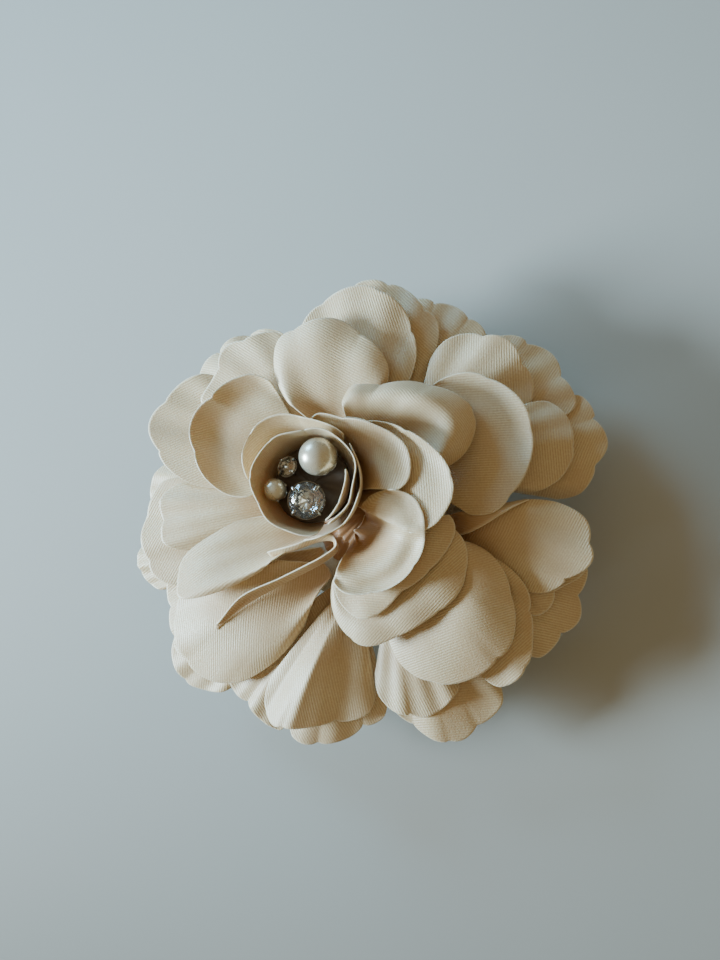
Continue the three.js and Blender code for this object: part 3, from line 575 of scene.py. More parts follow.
# ---- petals ----
# root x and y in mm from the hub, first and last direction in degrees, grain angle of the cut;
# listed in the order they are laid, the lowest first
petalRoots = {
    "outer_petal_01": (-10.8, -3.5, -179, -161, 20), "outer_petal_02": (-15.3, 3.1, 162, 194, 75),
    "outer_petal_03": (-8.6, -10.0, -158, -130, 40), "outer_petal_04": (-8.6, -6.8, -171, -141, 10),
    "outer_petal_05": (-4.2, -12.2, -143, -114, 65), "outer_petal_06": (-4.2, -12.2, -115, -75, 30),
    "outer_petal_07": (6.7, -12.3, -99, -49, 80), "outer_petal_08": (13.2, -6.0, -52, -7, 15),
    "outer_petal_09": (13.3, 6.8, -9, 33, 55), "outer_petal_10": (9.0, 13.3, 11, 57, 25),
    "outer_petal_11": (4.6, 17.8, 40, 85, 70), "outer_petal_12": (-9.2, 13.6, 110, 152, 35),
    "middle_petal_01": (-13.2, 1, 165, 210, 50), "middle_petal_02": (-14.6, 2.9, 169, 204, 5),
    "middle_petal_03": (1.1, 15.8, 48, 101, 60), "middle_petal_04": (-1, 15.8, 49, 127, 20),
    "middle_petal_05": (8.8, 13.4, 16, 76, 45), "middle_petal_06": (13.1, 9, -15, 33, 85),
    "middle_petal_07": (15.2, -6, -42, -4, 30), "middle_petal_08": (11, -2.5, -34, 11, 70),
    "middle_petal_09": (-2.1, -12.1, -131, -84, 25), "middle_petal_10": (-7.6, -10.9, -184, -116, 55),
    "middle_petal_11": (5.5, -12.2, -102, -59, 15), "middle_petal_12": (10.9, -5.9, -66, -13, 80),
    "middle_petal_13": (-11, 9.6, 136, 189, 40), "middle_petal_14": (-8.8, 15, 111, 164, 10),
    "upper_petal_01": (6.9, -7, -98, 1, 65), "upper_petal_02": (7.3, 8.6, -33, 73, -20),
    "upper_petal_03": (-10.6, 10.4, 119, 204, 35), "upper_petal_04": (-7.2, 15.7, 42, 140, 60),
    "inner_petal_01": (-8, -2.5, 172, 216, 20), "inner_petal_02": (-0.9, 9.2, -2, 101, 80),
    "inner_petal_03": (-2.1, -4.5, -114, 2, 100), "inner_petal_04": (-2.8, -3.8, -106, 6, 45),
    "inner_petal_06": (-9.9, 5.4, -27, 69, 75), "inner_petal_07": (-10.1, 5.4, -6, 88, 30),
    "inner_petal_05": (-2.9, -3.8, -101, 51, 15),
}
# how each ring of petals is finished, in mm: scallop depth and width, ripple height, lip roll and
# how far the root is tucked in; the last is the share of painted warm shade at the root
ringLooks = {
    "outer": {"scallop": 1.35, "lobeWidth": 8.5, "ripple": 0.35, "roll": -0.3, "tuck": 0.8, "warmShade": 0.4},
    "middle": {"scallop": 1.15, "lobeWidth": 10, "ripple": 0.35, "roll": -0.2, "tuck": 0.8, "warmShade": 0.5},
    "upper": {"scallop": 0.95, "lobeWidth": 11, "ripple": 0.3, "roll": 0.0, "tuck": 1.0, "warmShade": 0.5},
    "inner": {"scallop": 0.5, "lobeWidth": 10, "ripple": 0.25, "roll": 0.0, "tuck": 1.0, "warmShade": 0.6},
}
# petals with more painted warm shade at the root than their ring's
deepWarmShades = {"middle_petal_08": 0.95, "middle_petal_13": 0.6, "upper_petal_03": 0.7,
               "inner_petal_05": 1.0}
# inner petals whose root runs further down onto the gathered core, in mm
longRoots = {"inner_petal_03": 3.5, "inner_petal_04": 3.5, "inner_petal_05": 3.8}
# petals with a side turned over: width of the strip at the root, height of the roll, share of the
# petal's length where the strip runs out, slope of the strip
turnedSides = {"middle_petal_08": {"width": 6.2, "roll": 0.5, "runOut": 1.03, "rise": 0.25, "cols": 16}}
# petals with a crease: place across the fan, height, half width as a share of the fan
creases = {"middle_petal_09": {"at": 0.36, "high": 2.4, "half": 0.24},
           "outer_petal_05": {"at": 0.5, "high": 1.0, "half": 0.4},
           "upper_petal_01": {"at": 0.62, "high": 0.8, "half": 0.35}}
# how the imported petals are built: thickness, scallop as a share of the reach, rows and columns
packedPetal = {"thick": 0.5, "scallop": 0.045, "rows": [0, 0.2, 0.42, 0.64, 0.84, 1], "cols": 10}
# thickness, gap, edge band and the core's top in mm, the grid's columns and rows, and the shares of
# the petal where its rounded corner, ripple, lip and painted root shade begin or end
petalCut = {"thick": 0.3, "gap": 0.12, "edgeBand": 0.35, "coreTop": 20.3, "cols": 58, "rows": 26,
            "cornerRound": 0.1, "cornerCut": 0.085, "rippleFrom": 0.25, "lipFrom": 0.72,
            "warmShadeTo": 0.75, "seed": 1000}


def readLattice(name, root, span):
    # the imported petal's own middle points: its top and bottom points lie one sheet thickness apart
    points = np.array([v.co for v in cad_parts[name].data.vertices], float) / mm - hubMm
    points = np.unique(np.round(points, 3), axis=0)
    gaps = np.linalg.norm(points[:, None] - points[None], axis=2)
    a, b = np.nonzero(np.abs(gaps - packedPetal["thick"]) < 0.004)
    middle = (points[a] + points[b])[a < b] / 2
    offset = middle[:, :2] - np.array(root)
    width = span[1] - span[0]
    centre = (span[0] + span[1]) / 2
    turn = (np.degrees(np.arctan2(offset[:, 1], offset[:, 0])) - centre + 180) % 360 - 180
    lastColumn = packedPetal["cols"] - 1
    column = (turn / width + 0.5) * lastColumn
    out = np.linalg.norm(offset, axis=1)
    heights, reaches = [], []
    for i in range(packedPetal["cols"]):
        mine = np.nonzero(np.abs(column - i) < 0.03)[0]
        far, near = out[mine].max(), out[mine].min()
        rowHeights = []
        for v in packedPetal["rows"]:
            best = mine[np.argmin(np.abs(out[mine] - (near + (far - near) * v)))]
            rowHeights.append(middle[best, 2])
        heights.append(rowHeights)
        lobe = abs(math.sin(3 * math.pi * (i / lastColumn))) - 0.6
        reaches.append(far / (1 + lobe * packedPetal["scallop"]))
        start = near
    return start, np.array(reaches), np.array(heights).T


def lobesOf(u, width, draw):
    # shallow scallops with small cusps between them, unevenly spaced
    count = max(2, round(width))
    breaks = [0.0]
    for k in range(count):
        breaks.append(breaks[-1] + 0.75 + 0.5 * draw.random())
    breaks = np.array(breaks) / breaks[-1]
    k = np.clip(np.searchsorted(breaks, u, side="right") - 1, 0, count - 1)
    phase = (u - breaks[k]) / (breaks[k + 1] - breaks[k])
    depth = np.array([0.6 + 0.6 * draw.random() for _ in range(count)])[k]
    return (np.abs(np.sin(np.pi * phase)) ** 0.55 - 1) * depth


def petalSurface(name, index):
    # the petal's middle surface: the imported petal's reach and heights, read finely, with scallops,
    # ripple and lip added and the root carried on below
    rootX, rootY, first, last, grain = petalRoots[name]
    look = ringLooks[name.split("_")[0]]
    draw = random.Random(petalCut["seed"] + index)
    start, reaches, heights = readLattice(name, (rootX, rootY), (first, last))
    tuck = longRoots.get(name, look["tuck"])
    below = -tuck / (reaches.mean() - start)
    drop = np.minimum(np.maximum(heights[0] - petalCut["coreTop"], 0.1), tuck * 0.8)
    heights = np.vstack([heights[0] - drop, heights])
    knots = np.linspace(0, 1, packedPetal["cols"])
    wide = math.radians(last - first) * reaches.mean()
    edgeU, edgeV = petalCut["edgeBand"] / wide, petalCut["edgeBand"] / (reaches.mean() - start)
    u = np.concatenate([[0], np.linspace(edgeU, 1 - edgeU, petalCut["cols"] - 2), [1]])
    v = np.concatenate([[below], np.linspace(below + edgeV, 1 - edgeV, petalCut["rows"] - 2), [1]])
    reach = splineAt(knots, reaches, u)
    toCorner = np.clip(1 - np.minimum(u, 1 - u) / petalCut["cornerRound"], 0, 1)
    reach = reach * (1 - petalCut["cornerCut"] * toCorner ** 2)
    scallop = lobesOf(u, wide / look["lobeWidth"], draw) * look["scallop"]
    smoothed = heights.copy()
    smoothed[:, 1:-1] = heights[:, 1:-1] * 0.6 + (heights[:, :-2] + heights[:, 2:]) * 0.2
    high = splineAt(knots, smoothed.T, u).T
    high = splineAt([below] + packedPetal["rows"], high, v)
    turn = np.radians(first + (last - first) * u)
    outward = start + (reach - start)[None] * v[:, None]
    outward = outward + scallop[None] * (np.maximum(v[:, None], 0) ** 4)
    waves = [(draw.uniform(1.2, 2.4), draw.random()), (draw.uniform(3, 4.6), draw.random())]
    ripple = sum(np.sin(2 * np.pi * (f * u + p)) / (1 + 0.8 * k) for k, (f, p) in enumerate(waves))
    wavy = smoothStep(petalCut["rippleFrom"], 1.0, v)[:, None]
    lip = smoothStep(petalCut["lipFrom"], 1.0, v)[:, None]
    high = high + ripple[None] * look["ripple"] * wavy + look["roll"] * lip
    if name in creases:
        fold = creases[name]
        tent = np.clip(1 - np.abs(u - fold["at"]) / fold["half"], 0, 1)
        high = high + fold["high"] * (tent ** 1.1)[None] * smoothStep(0.1, 0.7, v)[:, None]
    grid = np.stack([rootX + np.cos(turn)[None] * outward,
                     rootY + np.sin(turn)[None] * outward, high], 2)
    return grid, start - tuck, turn, grain, look


def turnSideOver(name, grid, flat):
    # rolls the last side of a petal over onto itself; the turned strip narrows towards the rim
    side = turnedSides[name]
    edge, inward = grid[:, -1], grid[:, -2] - grid[:, -1]
    inward = inward * (1, 1, 0)
    inward /= np.linalg.norm(inward, axis=1, keepdims=True)
    up = np.array((0, 0, 1.0))
    v = np.linspace(0, 1, len(edge))
    wide = side["width"] * np.clip(1 - (v / side["runOut"]) ** 2, 0.04, 1)
    roll = side["roll"] * (1 - 0.6 * v)[:, None]
    backwards = grid[:, ::-1]
    steps = np.diff(backwards, axis=1, prepend=backwards[:, :1])
    gone = np.cumsum(np.linalg.norm(steps, axis=2), axis=1)
    step = flat[:, -1] - flat[:, -2]
    step /= np.linalg.norm(step, axis=1, keepdims=True)
    columns, cloths, length = [], [], np.zeros((len(edge), 1))
    bend = side["cols"] // 2
    last = edge
    for k in range(1, side["cols"] + 1):
        turn = math.pi * min(1, k / bend)
        beyond = max(0, (k - bend) / (side["cols"] - bend))
        under = np.array([[np.interp(w * beyond, far, row[:, c]) for c in range(3)]
                          for w, far, row in zip(wide, gone, backwards)])
        rise = roll * (1 - math.cos(turn)) + side["rise"] * (wide * beyond)[:, None]
        point = under + up * rise - inward * roll * math.sin(turn)
        length = length + np.linalg.norm(point - last, axis=1, keepdims=True)
        columns.append(point)
        cloths.append(flat[:, -1] + step * length)
        last = point
    grid = np.concatenate([grid, np.stack(columns, 1)], 1)
    return grid, np.concatenate([flat, np.stack(cloths, 1)], 1)


def clothOf(grid, start, turn):
    # flat pattern: how far out along the cloth, in each direction of the fan, turned to the grain
    steps = np.linalg.norm(np.diff(grid, axis=0), axis=2)
    along = start + np.vstack([np.zeros(grid.shape[1]), np.cumsum(steps, axis=0)])
    spread = turn - turn.mean()
    return np.stack([along * np.sin(spread)[None], along * np.cos(spread)[None]], 2)


def toGrain(flat, grain):
    # turns the flat pattern, so that the ribs run at the angle the petal was cut at
    angle = math.radians(grain)
    return flat @ np.array([[math.cos(angle), math.sin(angle)], [-math.sin(angle), math.cos(angle)]])


def surfaceTree(grid):
    rows, cols = grid.shape[:2]
    quads = [(j * cols + i, j * cols + i + 1, (j + 1) * cols + i + 1, (j + 1) * cols + i)
             for j in range(rows - 1) for i in range(cols - 1)]
    return BVHTree.FromPolygons([Vector(p) for p in grid.reshape(-1, 3)], quads)


laid = []   # the petals already laid: search tree, lowest and highest corner
# the ray starts above in mm; a steep surface takes more lift, up to mostLean times the need
liftRule = {"above": 80, "leastTilt": 0.35, "mostLean": 2.2, "spreads": 8}


def liftOver(grid):
    # raises a sheet where it would sink into the ones under it, and spreads the lift
    rows, cols = grid.shape[:2]
    lift = np.zeros((rows, cols))
    low, high = grid.reshape(-1, 3).min(0), grid.reshape(-1, 3).max(0)
    near = [t for t, a, b in laid if (a[:2] < high[:2]).all() and (b[:2] > low[:2]).all()]
    need = petalCut["thick"] + petalCut["gap"]
    for j in range(rows):
        for i in range(cols):
            x, y, z = grid[j, i]
            for tree in near:
                hit, normal, _, _ = tree.ray_cast(Vector((x, y, liftRule["above"])), Vector((0, 0, -1)))
                if hit is None:
                    continue
                lean = min(1 / max(abs(normal.z), liftRule["leastTilt"]), liftRule["mostLean"])
                lift[j, i] = max(lift[j, i], hit.z + need * lean - z)
    spread = lift.copy()
    for _ in range(liftRule["spreads"]):
        padded = np.pad(spread, 1, mode="edge")
        blurred = (padded[:-2, 1:-1] + padded[2:, 1:-1] + padded[1:-1, :-2] + padded[1:-1, 2:]) / 4
        spread = np.maximum(lift, blurred)
    grid[:, :, 2] += spread
    return float(lift.max())


def warmShadeMask(grid, strength, low, high):
    # share of painted warm shade, one value per grid point, strongest at the root
    v = np.linspace(0, 1, grid.shape[0])
    return np.repeat((strength * (1 - smoothStep(low, high, v)))[:, None], grid.shape[1], 1)


def makePetals():
    for index, name in enumerate(petalRoots):
        grid, start, turn, grain, look = petalSurface(name, index)
        lifted = liftOver(grid)
        flat = clothOf(grid, start, turn)
        if name in turnedSides:
            grid, flat = turnSideOver(name, grid, flat)
        # painted warm shade at the petal's root
        warmShade = warmShadeMask(grid, deepWarmShades.get(name, look["warmShade"]), 0.0, petalCut["warmShadeTo"])
        obj = makeSheet(name + "_cloth", grid, toGrain(flat, grain), warmShade, petalCut["thick"],
                        petalSatin)
        settle(obj, "flower", "petal_satin", name)
        size, area = cutSize(flat)
        laid.append((surfaceTree(grid), grid.reshape(-1, 3).min(0), grid.reshape(-1, 3).max(0)))
        if lifted > 0.5:
            print(f"{name} lifted {lifted:.2f} mm")
    print(len(petalRoots), "petals laid")


makePetals()


# ---- bud walls and the folded petal ----
budMiddle = (-10.3, 5.5)
budWalls = {   # turn in degrees, foot radius and height, rim radii and heights along the turn, in mm
    "bud_wrap_01": {"turn": (-62, 282), "foot": (6.9, 20.9),
                    "rim": (9.6, 10.3, 10.7, 10.4, 10.6, 10.8, 10.4),
                    "top": (32.5, 33.5, 34, 34.5, 34.5, 34, 33.5),
                    "belly": 0.9, "curl": 0.45, "wobble": 0.36, "cols": 150, "lobes": 9, "grain": 90},
    "bud_wrap_02": {"turn": (50, 175), "foot": (8.2, 20.8),
                    "rim": (11.9, 11.9, 12.6, 14.6, 16, 15.2, 13),
                    "top": (33, 33, 33, 32.5, 32, 31, 29.5),
                    "belly": 0.5, "curl": 0.6, "wobble": 0.2, "cols": 70, "lobes": 3, "grain": 70},
    "bud_wrap_03": {"turn": (-95, 40), "foot": (8.3, 20.8),
                    "rim": (11.8, 11.5, 11.4, 11.4, 11.5, 11.8),
                    "top": (30, 31.5, 32.5, 33, 33, 32.5),
                    "belly": 0.9, "curl": 0.3, "wobble": 0.15, "cols": 70, "lobes": 3, "grain": 80},
    "bud_flap": {"turn": (-64, 14), "foot": (8.1, 27.6),
                 "rim": (8.9, 8.5, 8.5, 9.1), "top": (31.6, 33, 33.6, 33.8),
                 "belly": 0, "curl": 0.0, "wobble": 0.1, "cols": 36, "lobes": 1, "grain": 60},
}
# shared by the bud walls: grid, lobe depth in mm, shares of the height where curl and wobble begin, and
# the share of painted warm shade at the foot
wallCut = {"rows": 18, "endBand": 0.006, "lipBand": 0.035, "lobeDepth": 0.6, "curlFrom": 0.72,
           "wobbleFrom": 0.3, "warmShade": 0.35, "seed": 2000}
# foot and rim of the petal folded like a hairpin, from its near end round the bend to its far end
foldedPetal = {
    "foot": ((-19.5, -9.4, 23.6), (-13.5, -7.6, 24.0), (-9.0, -6.2, 23.6), (-6.2, -6.4, 22.8),
             (-5.8, -8.2, 22.6), (-8.6, -10.6, 22.6), (-12.6, -12.7, 22.6), (-19.8, -16.2, 22.4),
             (-27.0, -20.2, 21.8), (-33.2, -24.8, 20.4)),
    "rim": ((-20.5, -8.6, 25.2), (-13.8, -7.2, 27.2), (-9.0, -5.6, 28.2), (-5.6, -5.6, 28.2),
            (-4.9, -7.6, 28.0), (-7.6, -9.7, 27.6), (-11.6, -11.6, 26.8), (-17.5, -14.2, 25.8),
            (-26.6, -18.0, 24.2), (-32.4, -23.6, 21.6)),
    "cols": 110, "rows": 14, "endBand": 0.01, "lipBand": 0.06, "belly": 0.5, "grain": 35}


def endShares(count, band):
    # even shares from 0 to 1 with a narrow band at each end
    return np.concatenate([[0], np.linspace(band, 1 - band, count - 2), [1]])


def stripCloth(grid):
    # flat pattern of a strip: along its middle row, and up each column
    middle = grid[grid.shape[0] // 2]
    along = np.concatenate([[0], np.cumsum(np.linalg.norm(np.diff(middle, axis=0), axis=1))])
    steps = np.linalg.norm(np.diff(grid, axis=0), axis=2)
    up = np.vstack([np.zeros(grid.shape[1]), np.cumsum(steps, axis=0)])
    return np.stack([np.repeat(along[None], grid.shape[0], 0), up], 2)


def addStrip(name, grid, grain):
    flat = stripCloth(grid)
    # painted warm shade low on the strip
    warmShade = warmShadeMask(grid, wallCut["warmShade"], 0.1, 0.85)
    obj = makeSheet(name + "_cloth", grid, toGrain(flat, grain), warmShade, petalCut["thick"], petalSatin)
    settle(obj, "flower", "petal_satin", name)
    (wide, tall), area = cutSize(flat)


def makeBud():
    for index, (name, look) in enumerate(budWalls.items()):
        draw = random.Random(wallCut["seed"] + index)
        u, v = endShares(look["cols"], wallCut["endBand"]), endShares(wallCut["rows"], wallCut["lipBand"])
        turn = np.radians(look["turn"][0] + (look["turn"][1] - look["turn"][0]) * u)
        rim = curveAt(look["rim"], u)[:, 1]
        top = curveAt(look["top"], u)[:, 1] + lobesOf(u, look["lobes"], draw) * wallCut["lobeDepth"]
        up = v[:, None]
        shift = draw.random() * 6
        waves = np.sin(turn * 3 + shift) + 0.6 * np.sin(turn * 7 + 2 * shift)
        wavy = waves[None] * smoothStep(wallCut["wobbleFrom"], 1, up)
        footOut, footHigh = look["foot"]
        out = footOut + (rim - footOut)[None] * up + np.sin(np.pi * up) * look["belly"]
        out = out + look["curl"] * smoothStep(wallCut["curlFrom"], 1, up) + look["wobble"] * wavy
        high = footHigh + (top - footHigh)[None] * up
        grid = np.stack([budMiddle[0] + np.cos(turn)[None] * out,
                         budMiddle[1] + np.sin(turn)[None] * out, high], 2)
        addStrip(name, grid, look["grain"])
    look = foldedPetal
    u, v = endShares(look["cols"], look["endBand"]), endShares(look["rows"], look["lipBand"])
    foot, rim = curveAt(look["foot"], u), curveAt(look["rim"], u)
    grid = foot[None] + (rim - foot)[None] * v[:, None, None]
    away = np.cross(np.gradient(foot, axis=0), (0, 0, 1))
    away /= np.linalg.norm(away, axis=1, keepdims=True)
    grid += away[None] * (np.sin(np.pi * v) * look["belly"])[:, None, None]
    addStrip("inner_fold", grid, look["grain"])
    print("bud walls and folded petal made")


makeBud()


# ---- turned pieces ----
def latheShape(profile, middle, segments, shape=None):
    # profile of (radius, height) from the axis round to the axis again; shape(r, z, turn) may move
    # each point; returns points and faces
    points, faces, rings = [], [], []
    for r, z in profile:
        count = 1 if r < 1e-6 else segments
        rings.append(list(range(len(points), len(points) + count)))
        for k in range(count):
            turn = 2 * math.pi * k / segments
            out, high = shape(r, z, turn) if shape else (r, z)
            points.append((middle[0] + out * math.cos(turn), middle[1] + out * math.sin(turn), high))
    for a, b in zip(rings, rings[1:]):
        for k in range(segments):
            n = (k + 1) % segments
            if len(a) == 1:
                faces.append([a[0], b[n], b[k]])
            elif len(b) == 1:
                faces.append([a[k], a[n], b[0]])
            else:
                faces.append([a[k], a[n], b[n], b[k]])
    return points, faces


def makeLathe(name, profile, middle, segments, material, shape, sharpAngle=45):
    points, faces = latheShape(profile, middle, segments, shape)
    return addObject(name, points, faces, material, sharpAngle=sharpAngle)


def fillIn(profile, step):
    # more points along each straight part of a profile
    out = [profile[0]]
    for (r0, z0), (r1, z1) in zip(profile, profile[1:]):
        count = max(1, math.ceil(math.hypot(r1 - r0, z1 - z0) / step))
        out += [(r0 + (r1 - r0) * k / count, z0 + (z1 - z0) * k / count) for k in range(1, count + 1)]
    return out


def roundOff(profile, radius):
    # bevels each inner corner of a profile with three points
    out = [profile[0]]
    for a, b, c in zip(profile, profile[1:], profile[2:]):
        a, b, c = np.array(a), np.array(b), np.array(c)
        reach = min(radius, np.linalg.norm(a - b) / 2.2, np.linalg.norm(c - b) / 2.2)
        p = b + (a - b) / np.linalg.norm(a - b) * reach
        q = b + (c - b) / np.linalg.norm(c - b) * reach
        out += [tuple(p), tuple((p + q) / 4 + b / 2), tuple(q)]
    return out + [profile[-1]]


feltDisc = {"radius": 20.0, "bottom": 13.0, "top": 14.2, "round": 0.35, "flatTo": 15, "edgeWaver": 0.12,
            "bump": 0.05}
pleatedCore = {"skirt": 12.6, "neck": 8.0, "bottom": 14.5, "skirtTop": 16.4, "shoulder": 18.8,
               "top": 19.8, "round": 0.6, "pleats": 26, "depth": 0.35, "sag": 0.25}
beadSeat = {"foot": 5.6, "footZ": 20.1, "brim": 8.4, "top": 27.0, "round": 0.5, "rumpleFrom": 25,
            "rumple": 0.32, "sideRumple": 0.12}


def makeFeltDisc():
    look = feltDisc

    def waver(r, z, turn):
        near = max(0.0, (r - look["flatTo"]) / (look["radius"] - look["flatTo"]))
        shiftOut = look["edgeWaver"] * near * (math.sin(5 * turn + 1) + 0.6 * math.sin(13 * turn))
        bump = look["bump"] * math.sin(r * 1.1) * math.cos(3 * turn)
        return r + shiftOut - look["edgeWaver"] * near, z + bump
    profile = roundOff([(0, look["bottom"]), (look["radius"], look["bottom"]),
                        (look["radius"], look["top"]), (0, look["top"])], look["round"])
    felt = makeLathe("felt_disc", fillIn(profile, 1.2), (0, 0), 128, feltBack, waver)
    settle(felt, "flower", "felt", "felt_back")


def makeCore():
    look = pleatedCore

    def pleat(r, z, turn):
        tuck = 0.5 + 0.5 * math.cos(look["pleats"] * turn + 1.3 * math.sin(3 * turn))
        share = min(1.0, r / look["neck"])
        sag = look["sag"] * tuck * share * (z > look["bottom"] + 1)
        return r - look["depth"] * tuck * share, z - sag
    profile = roundOff([(0, look["bottom"]), (look["skirt"], look["bottom"]),
                        (look["skirt"], look["skirtTop"]), (look["neck"], look["shoulder"]),
                        (look["neck"], look["top"]), (0, look["top"])], look["round"])
    # painted shade: the core cloth is dark red-brown for the shaded well
    core = makeLathe("gathered_core", fillIn(profile, 0.8), (0, 0), 208, shadedCoreCloth, pleat, sharpAngle=80)
    settle(core, "flower", "core", "flower_core")


def makeSeat():
    look = beadSeat

    def rumple(r, z, turn):
        high = max(0.0, (z - look["rumpleFrom"]) / (look["top"] - look["rumpleFrom"]))
        fold = math.sin(4 * turn + r * 0.9) * math.sin(7 * turn - r * 0.5)
        sink = look["rumple"] * high * (0.5 + 0.5 * fold) * min(1, r / 2)
        return r + look["sideRumple"] * fold * min(1, r / 3), z - sink
    profile = roundOff([(0, look["footZ"]), (look["foot"], look["footZ"]),
                        (look["brim"], look["top"] - 0.6), (look["brim"] - 0.5, look["top"]),
                        (0, look["top"])], look["round"])
    # painted shade: the seat cloth is dark brown for the deep shade between the beads
    seat = makeLathe("bead_seat", fillIn(profile, 0.7), budMiddle, 120, shadedPadCloth, rumple, sharpAngle=80)
    settle(seat, "flower", "core", "bud_core")


makeFeltDisc()
makeCore()
makeSeat()
print("felt, gathered core and bead seat made")


# ---- beads ----
beads = {
    "large_pearl": {"radius": 4.0}, "small_pearl": {"radius": 2.4},
    "large_stone": {"at": (-10.6, 1.7, 30.7), "radius": 3.75, "lean": 5, "toward": -60},
    "small_stone": {"at": (-15.0, 9.0, 29.8), "radius": 2.0, "lean": 16, "toward": 135},
}
pearlShape = {"drill": 0.8, "drillDepth": 0.2, "rings": 40, "segments": 56, "waver": 0.003}
# cap under a pearl: sizes in mm, reach in degrees up from below, and how deep its scallops are
beadCap = {"gap": 0.1, "thick": 0.22, "reach": 62, "petals": 6, "stem": 0.5, "footRadius": 1.0,
           "footZ": 27.3, "footThick": 0.25, "dip": 0.22, "pinch": 0.10}
# ring radii and heights of the stone's facets, as shares of its radius
stoneCut = {"table": 0.56, "tableZ": 0.36, "starRing": 0.79, "starZ": 0.245, "girdle": 0.10,
            "under": 0.0, "pavilionRing": 0.46, "pavilionZ": -0.34, "culetZ": -0.60}
# cup outside and inside as shares of the stone's radius, then the prongs that hold the stone
settingShape = {"gap": 0.06, "wall": 0.24, "round": 0.14, "segments": 56, "footZ": -0.80, "foot": 0.42,
                "bellyZ": -0.34, "rimZ": -0.14, "rim": 0.02, "wellZ": -0.66, "well": 0.34,
                "prongs": 4, "prongWidth": 0.22, "prongSteps": 14}


def makePearl(name, look):
    radius = look["radius"]
    low, high = (np.array(corner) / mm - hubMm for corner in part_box(name))
    x, y, z = (low[0] + high[0]) / 2, (low[1] + high[1]) / 2, high[2] - radius
    drill, rings = pearlShape["drill"], pearlShape["rings"]
    start = math.asin(drill / radius)
    inside = -radius * pearlShape["drillDepth"]
    profile = [(0, z + inside), (drill, z + inside), (drill, z - radius * math.cos(start))]
    for k in range(1, rings + 1):
        turn = start + (math.pi - start) * k / rings
        profile.append((radius * math.sin(turn) if k < rings else 0, z - radius * math.cos(turn)))

    def waver(r, zz, turn):
        return r * (1 + pearlShape["waver"] * math.sin(3 * turn + zz) * math.sin(2 * zz)), zz
    pearl = makeLathe(name + "_bead", profile, (x, y), pearlShape["segments"], pearlCoat, waver)
    settle(pearl, "flower", "pearl", name)
    makeCap(name, radius, (x, y, z), z + inside)


def makeCap(name, radius, middle, drillTop):
    # post with a scalloped cap that cups the bead from below
    x, y, z = middle
    inner, outer = radius + beadCap["gap"], radius + beadCap["gap"] + beadCap["thick"]
    bottom, foot, stem = beadCap["footZ"], beadCap["footRadius"], beadCap["stem"]
    far = math.radians(beadCap["reach"])
    near = math.asin(stem / inner)
    lowest, highest = z - outer * math.cos(near), z - outer * math.cos(far)
    profile = [(0, bottom), (foot, bottom), (foot, bottom + beadCap["footThick"]),
               (stem, bottom + 0.4), (stem, lowest)]
    turns = np.linspace(near + 0.08, far, 9)
    profile += [(outer * math.sin(a), z - outer * math.cos(a)) for a in turns]
    turns = np.linspace(far, near + 0.08, 9)
    profile += [(inner * math.sin(a), z - inner * math.cos(a)) for a in turns]
    profile += [(stem, z - inner * math.cos(near)), (stem, drillTop - 0.3), (0, drillTop - 0.3)]

    def scallop(r, zz, turn):
        rise = max(0.0, min(1.0, (zz - lowest) / max(0.1, highest - lowest)))
        if r <= stem + 1e-6:
            return r, zz
        between = rise * (1 - abs(math.sin(turn * beadCap["petals"] / 2)))
        return r * (1 - beadCap["pinch"] * between), zz - beadCap["dip"] * radius * between
    cap = makeLathe(name + "_cap", profile, (x, y), 72, darkPlate, scallop)
    settle(cap, "flower", "plated_metal", name + "_post")


def leanOver(points, look):
    # tips a piece made round the origin, then moves it to its place
    lean, toward = math.radians(look["lean"]), math.radians(look["toward"])
    turn = np.array(Matrix.Rotation(lean, 3, Vector((-math.sin(toward), math.cos(toward), 0))))
    return np.asarray(points, float) @ turn.T + np.array(look["at"])


def makeStone(name, look):
    # round brilliant: flat table, star, kite and girdle facets, foiled underside
    radius = look["radius"]
    cut = stoneCut

    def ring(count, out, z, shift=0.0):
        turns = [2 * math.pi * (k + shift) / count for k in range(count)]
        return [(out * radius * math.cos(turn), out * radius * math.sin(turn), z * radius)
                for turn in turns]
    table = ring(8, cut["table"], cut["tableZ"])
    star = ring(8, cut["starRing"], cut["starZ"], 0.5)
    upper = ring(16, 1.0, cut["girdle"])
    lower = ring(16, 1.0, cut["under"])
    deep = ring(8, cut["pavilionRing"], cut["pavilionZ"], 0.5)
    points = table + star + upper + lower + deep + [(0, 0, cut["culetZ"] * radius)]
    # where the table, star, girdle, lower girdle and pavilion rings begin, and the lowest point
    t, s, g, h, p, culet = 0, 8, 16, 32, 48, 56
    crown, under = [list(range(8))], []
    for k in range(8):
        n, b = (k + 1) % 8, (k - 1) % 8
        crown.append([t + n, t + k, s + k])
        crown.append([t + k, s + b, g + 2 * k, s + k])
        crown.append([s + k, g + 2 * k, g + 2 * k + 1])
        crown.append([s + k, g + 2 * k + 1, g + (2 * k + 2) % 16])
        under.append([p + k, h + 2 * k + 1, h + 2 * k])
        under.append([p + k, h + (2 * k + 2) % 16, h + 2 * k + 1])
        under.append([culet, p + k, h + 2 * k, p + b])
    for k in range(16):
        crown.append([g + k, h + k, h + (k + 1) % 16, g + (k + 1) % 16])
    obj = addObject(name + "_cut", leanOver(points, look), crown + under, [stoneGlass, stoneFoil],
                    flat=True)
    for polygon in obj.data.polygons:
        polygon.material_index = int(polygon.index >= len(crown))
    settle(obj, "flower", "stone", name)


